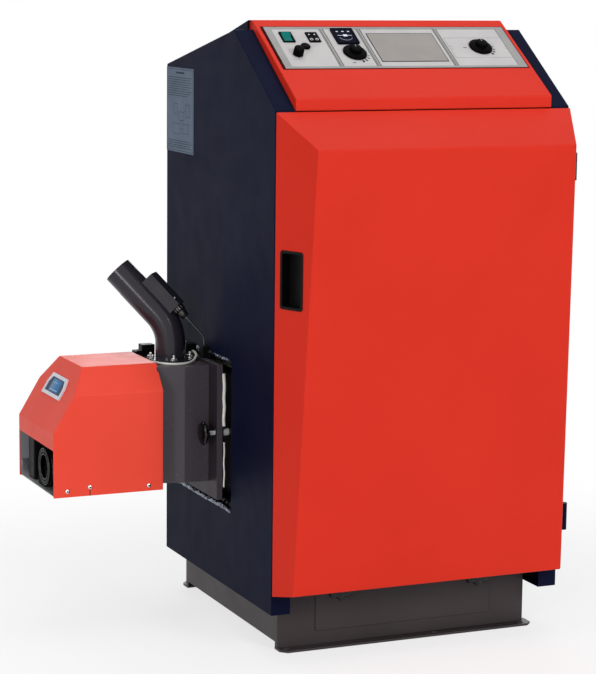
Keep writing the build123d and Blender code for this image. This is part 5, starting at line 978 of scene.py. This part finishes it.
for x, z, outer, bore in socketPlan["sockets"]:
    mouth = placeAt((x, socketPlan["end"], z), (1, 0, 0), (0, -1, 0))
    for turned in range(socketPlan["turns"]):
        along = socketPlan["first"] + socketPlan["pitch"] * turned
        addTorus(form, mouth, bore, socketPlan["ridge"], along=along, count=48, around=6)
    addTorus(form, mouth, outer + 0.2, socketPlan["rim"], along=2.2, count=64, around=6)
placePiece("socketThreads", form, "galvanised", "boiler", crisp=50.0)

# Casing screws: washers and hexagon heads over the plain ones at the rear edges
screwPlan = {"across": (-302.0, 302.0), "heights": (130.0, 430.0, 730.0, 1030.0), "face": back(579.5),
             "head": [(0.0, 6.8), (0.6, 6.8), (0.7, 5.4), (2.6, 5.0), (3.0, 4.2)]}
form = bmesh.new()
for x in screwPlan["across"]:
    for z in screwPlan["heights"]:
        addRings(form, placeAt((x, screwPlan["face"], z), (1, 0, 0), (0, 1, 0)), screwPlan["head"], 6)
placePiece("screwWashers", form, "zincPlate", "boiler")
print("door and rear pieces placed")

# Label print without words: frame, heading bar, faint lines and a diagram's boxes
labelPlan = {"x": -310.5, "front": back(424.5), "rear": back(574.5), "low": 938.0, "high": 1104.0,
             "line": 0.8, "barInset": 52, "bar": (9.0, 5.5), "rowTop": 17.5, "rowStep": 4.6, "rowTall": 1.1,
             "margin": 6, "insets": (4, 9, 5, 14, 6, 18, 4, 11, 24), "lowInsets": (2, 11, 2, 11),
             "boxes": ((20, 70, 22, 26), (52, 62, 30, 18), (90, 74, 20, 22), (26, 36, 34, 20),
                       (74, 34, 40, 22)),
             "links": ((42, 82, 10, 0.8), (82, 70, 8, 0.8), (60, 45, 14, 0.8), (66, 56, 0.8, 8))}
form = bmesh.new()


def addPrint(front, low, rear, high):
    # Flat printed mark on the label
    addBlock(form, sharedFrame, (labelPlan["x"] - 0.12, front, low), (labelPlan["x"] + 0.1, rear, high))


def addFrame(front, low, rear, high):
    # Printed rectangle of four thin marks
    line = labelPlan["line"]
    addPrint(front, low, rear, low + line)
    addPrint(front, high - line, rear, high)
    addPrint(front, low, front + line, high)
    addPrint(rear - line, low, rear, high)


front, rear, low, high = (labelPlan[key] for key in ("front", "rear", "low", "high"))
addFrame(front, low, rear, high)
inset, margin = labelPlan["barInset"], labelPlan["margin"]
addPrint(front + inset, high - labelPlan["bar"][0], rear - inset, high - labelPlan["bar"][1])
rows = [(high - labelPlan["rowTop"] - labelPlan["rowStep"] * row, inset)
        for row, inset in enumerate(labelPlan["insets"])]
rows += [(low + margin + labelPlan["rowStep"] * row, inset)
         for row, inset in enumerate(labelPlan["lowInsets"])]
for foot, inset in rows:
    addPrint(front + margin + inset, foot, rear - margin, foot + labelPlan["rowTall"])
for start, base, wide, tall in labelPlan["boxes"]:
    addFrame(front + start, low + base, front + start + wide, low + base + tall)
for start, base, wide, tall in labelPlan["links"]:
    addPrint(front + start, low + base, front + start + wide, low + base + tall)
placePiece("labelPrint", form, "labelInk", "boiler")
print("label print placed")
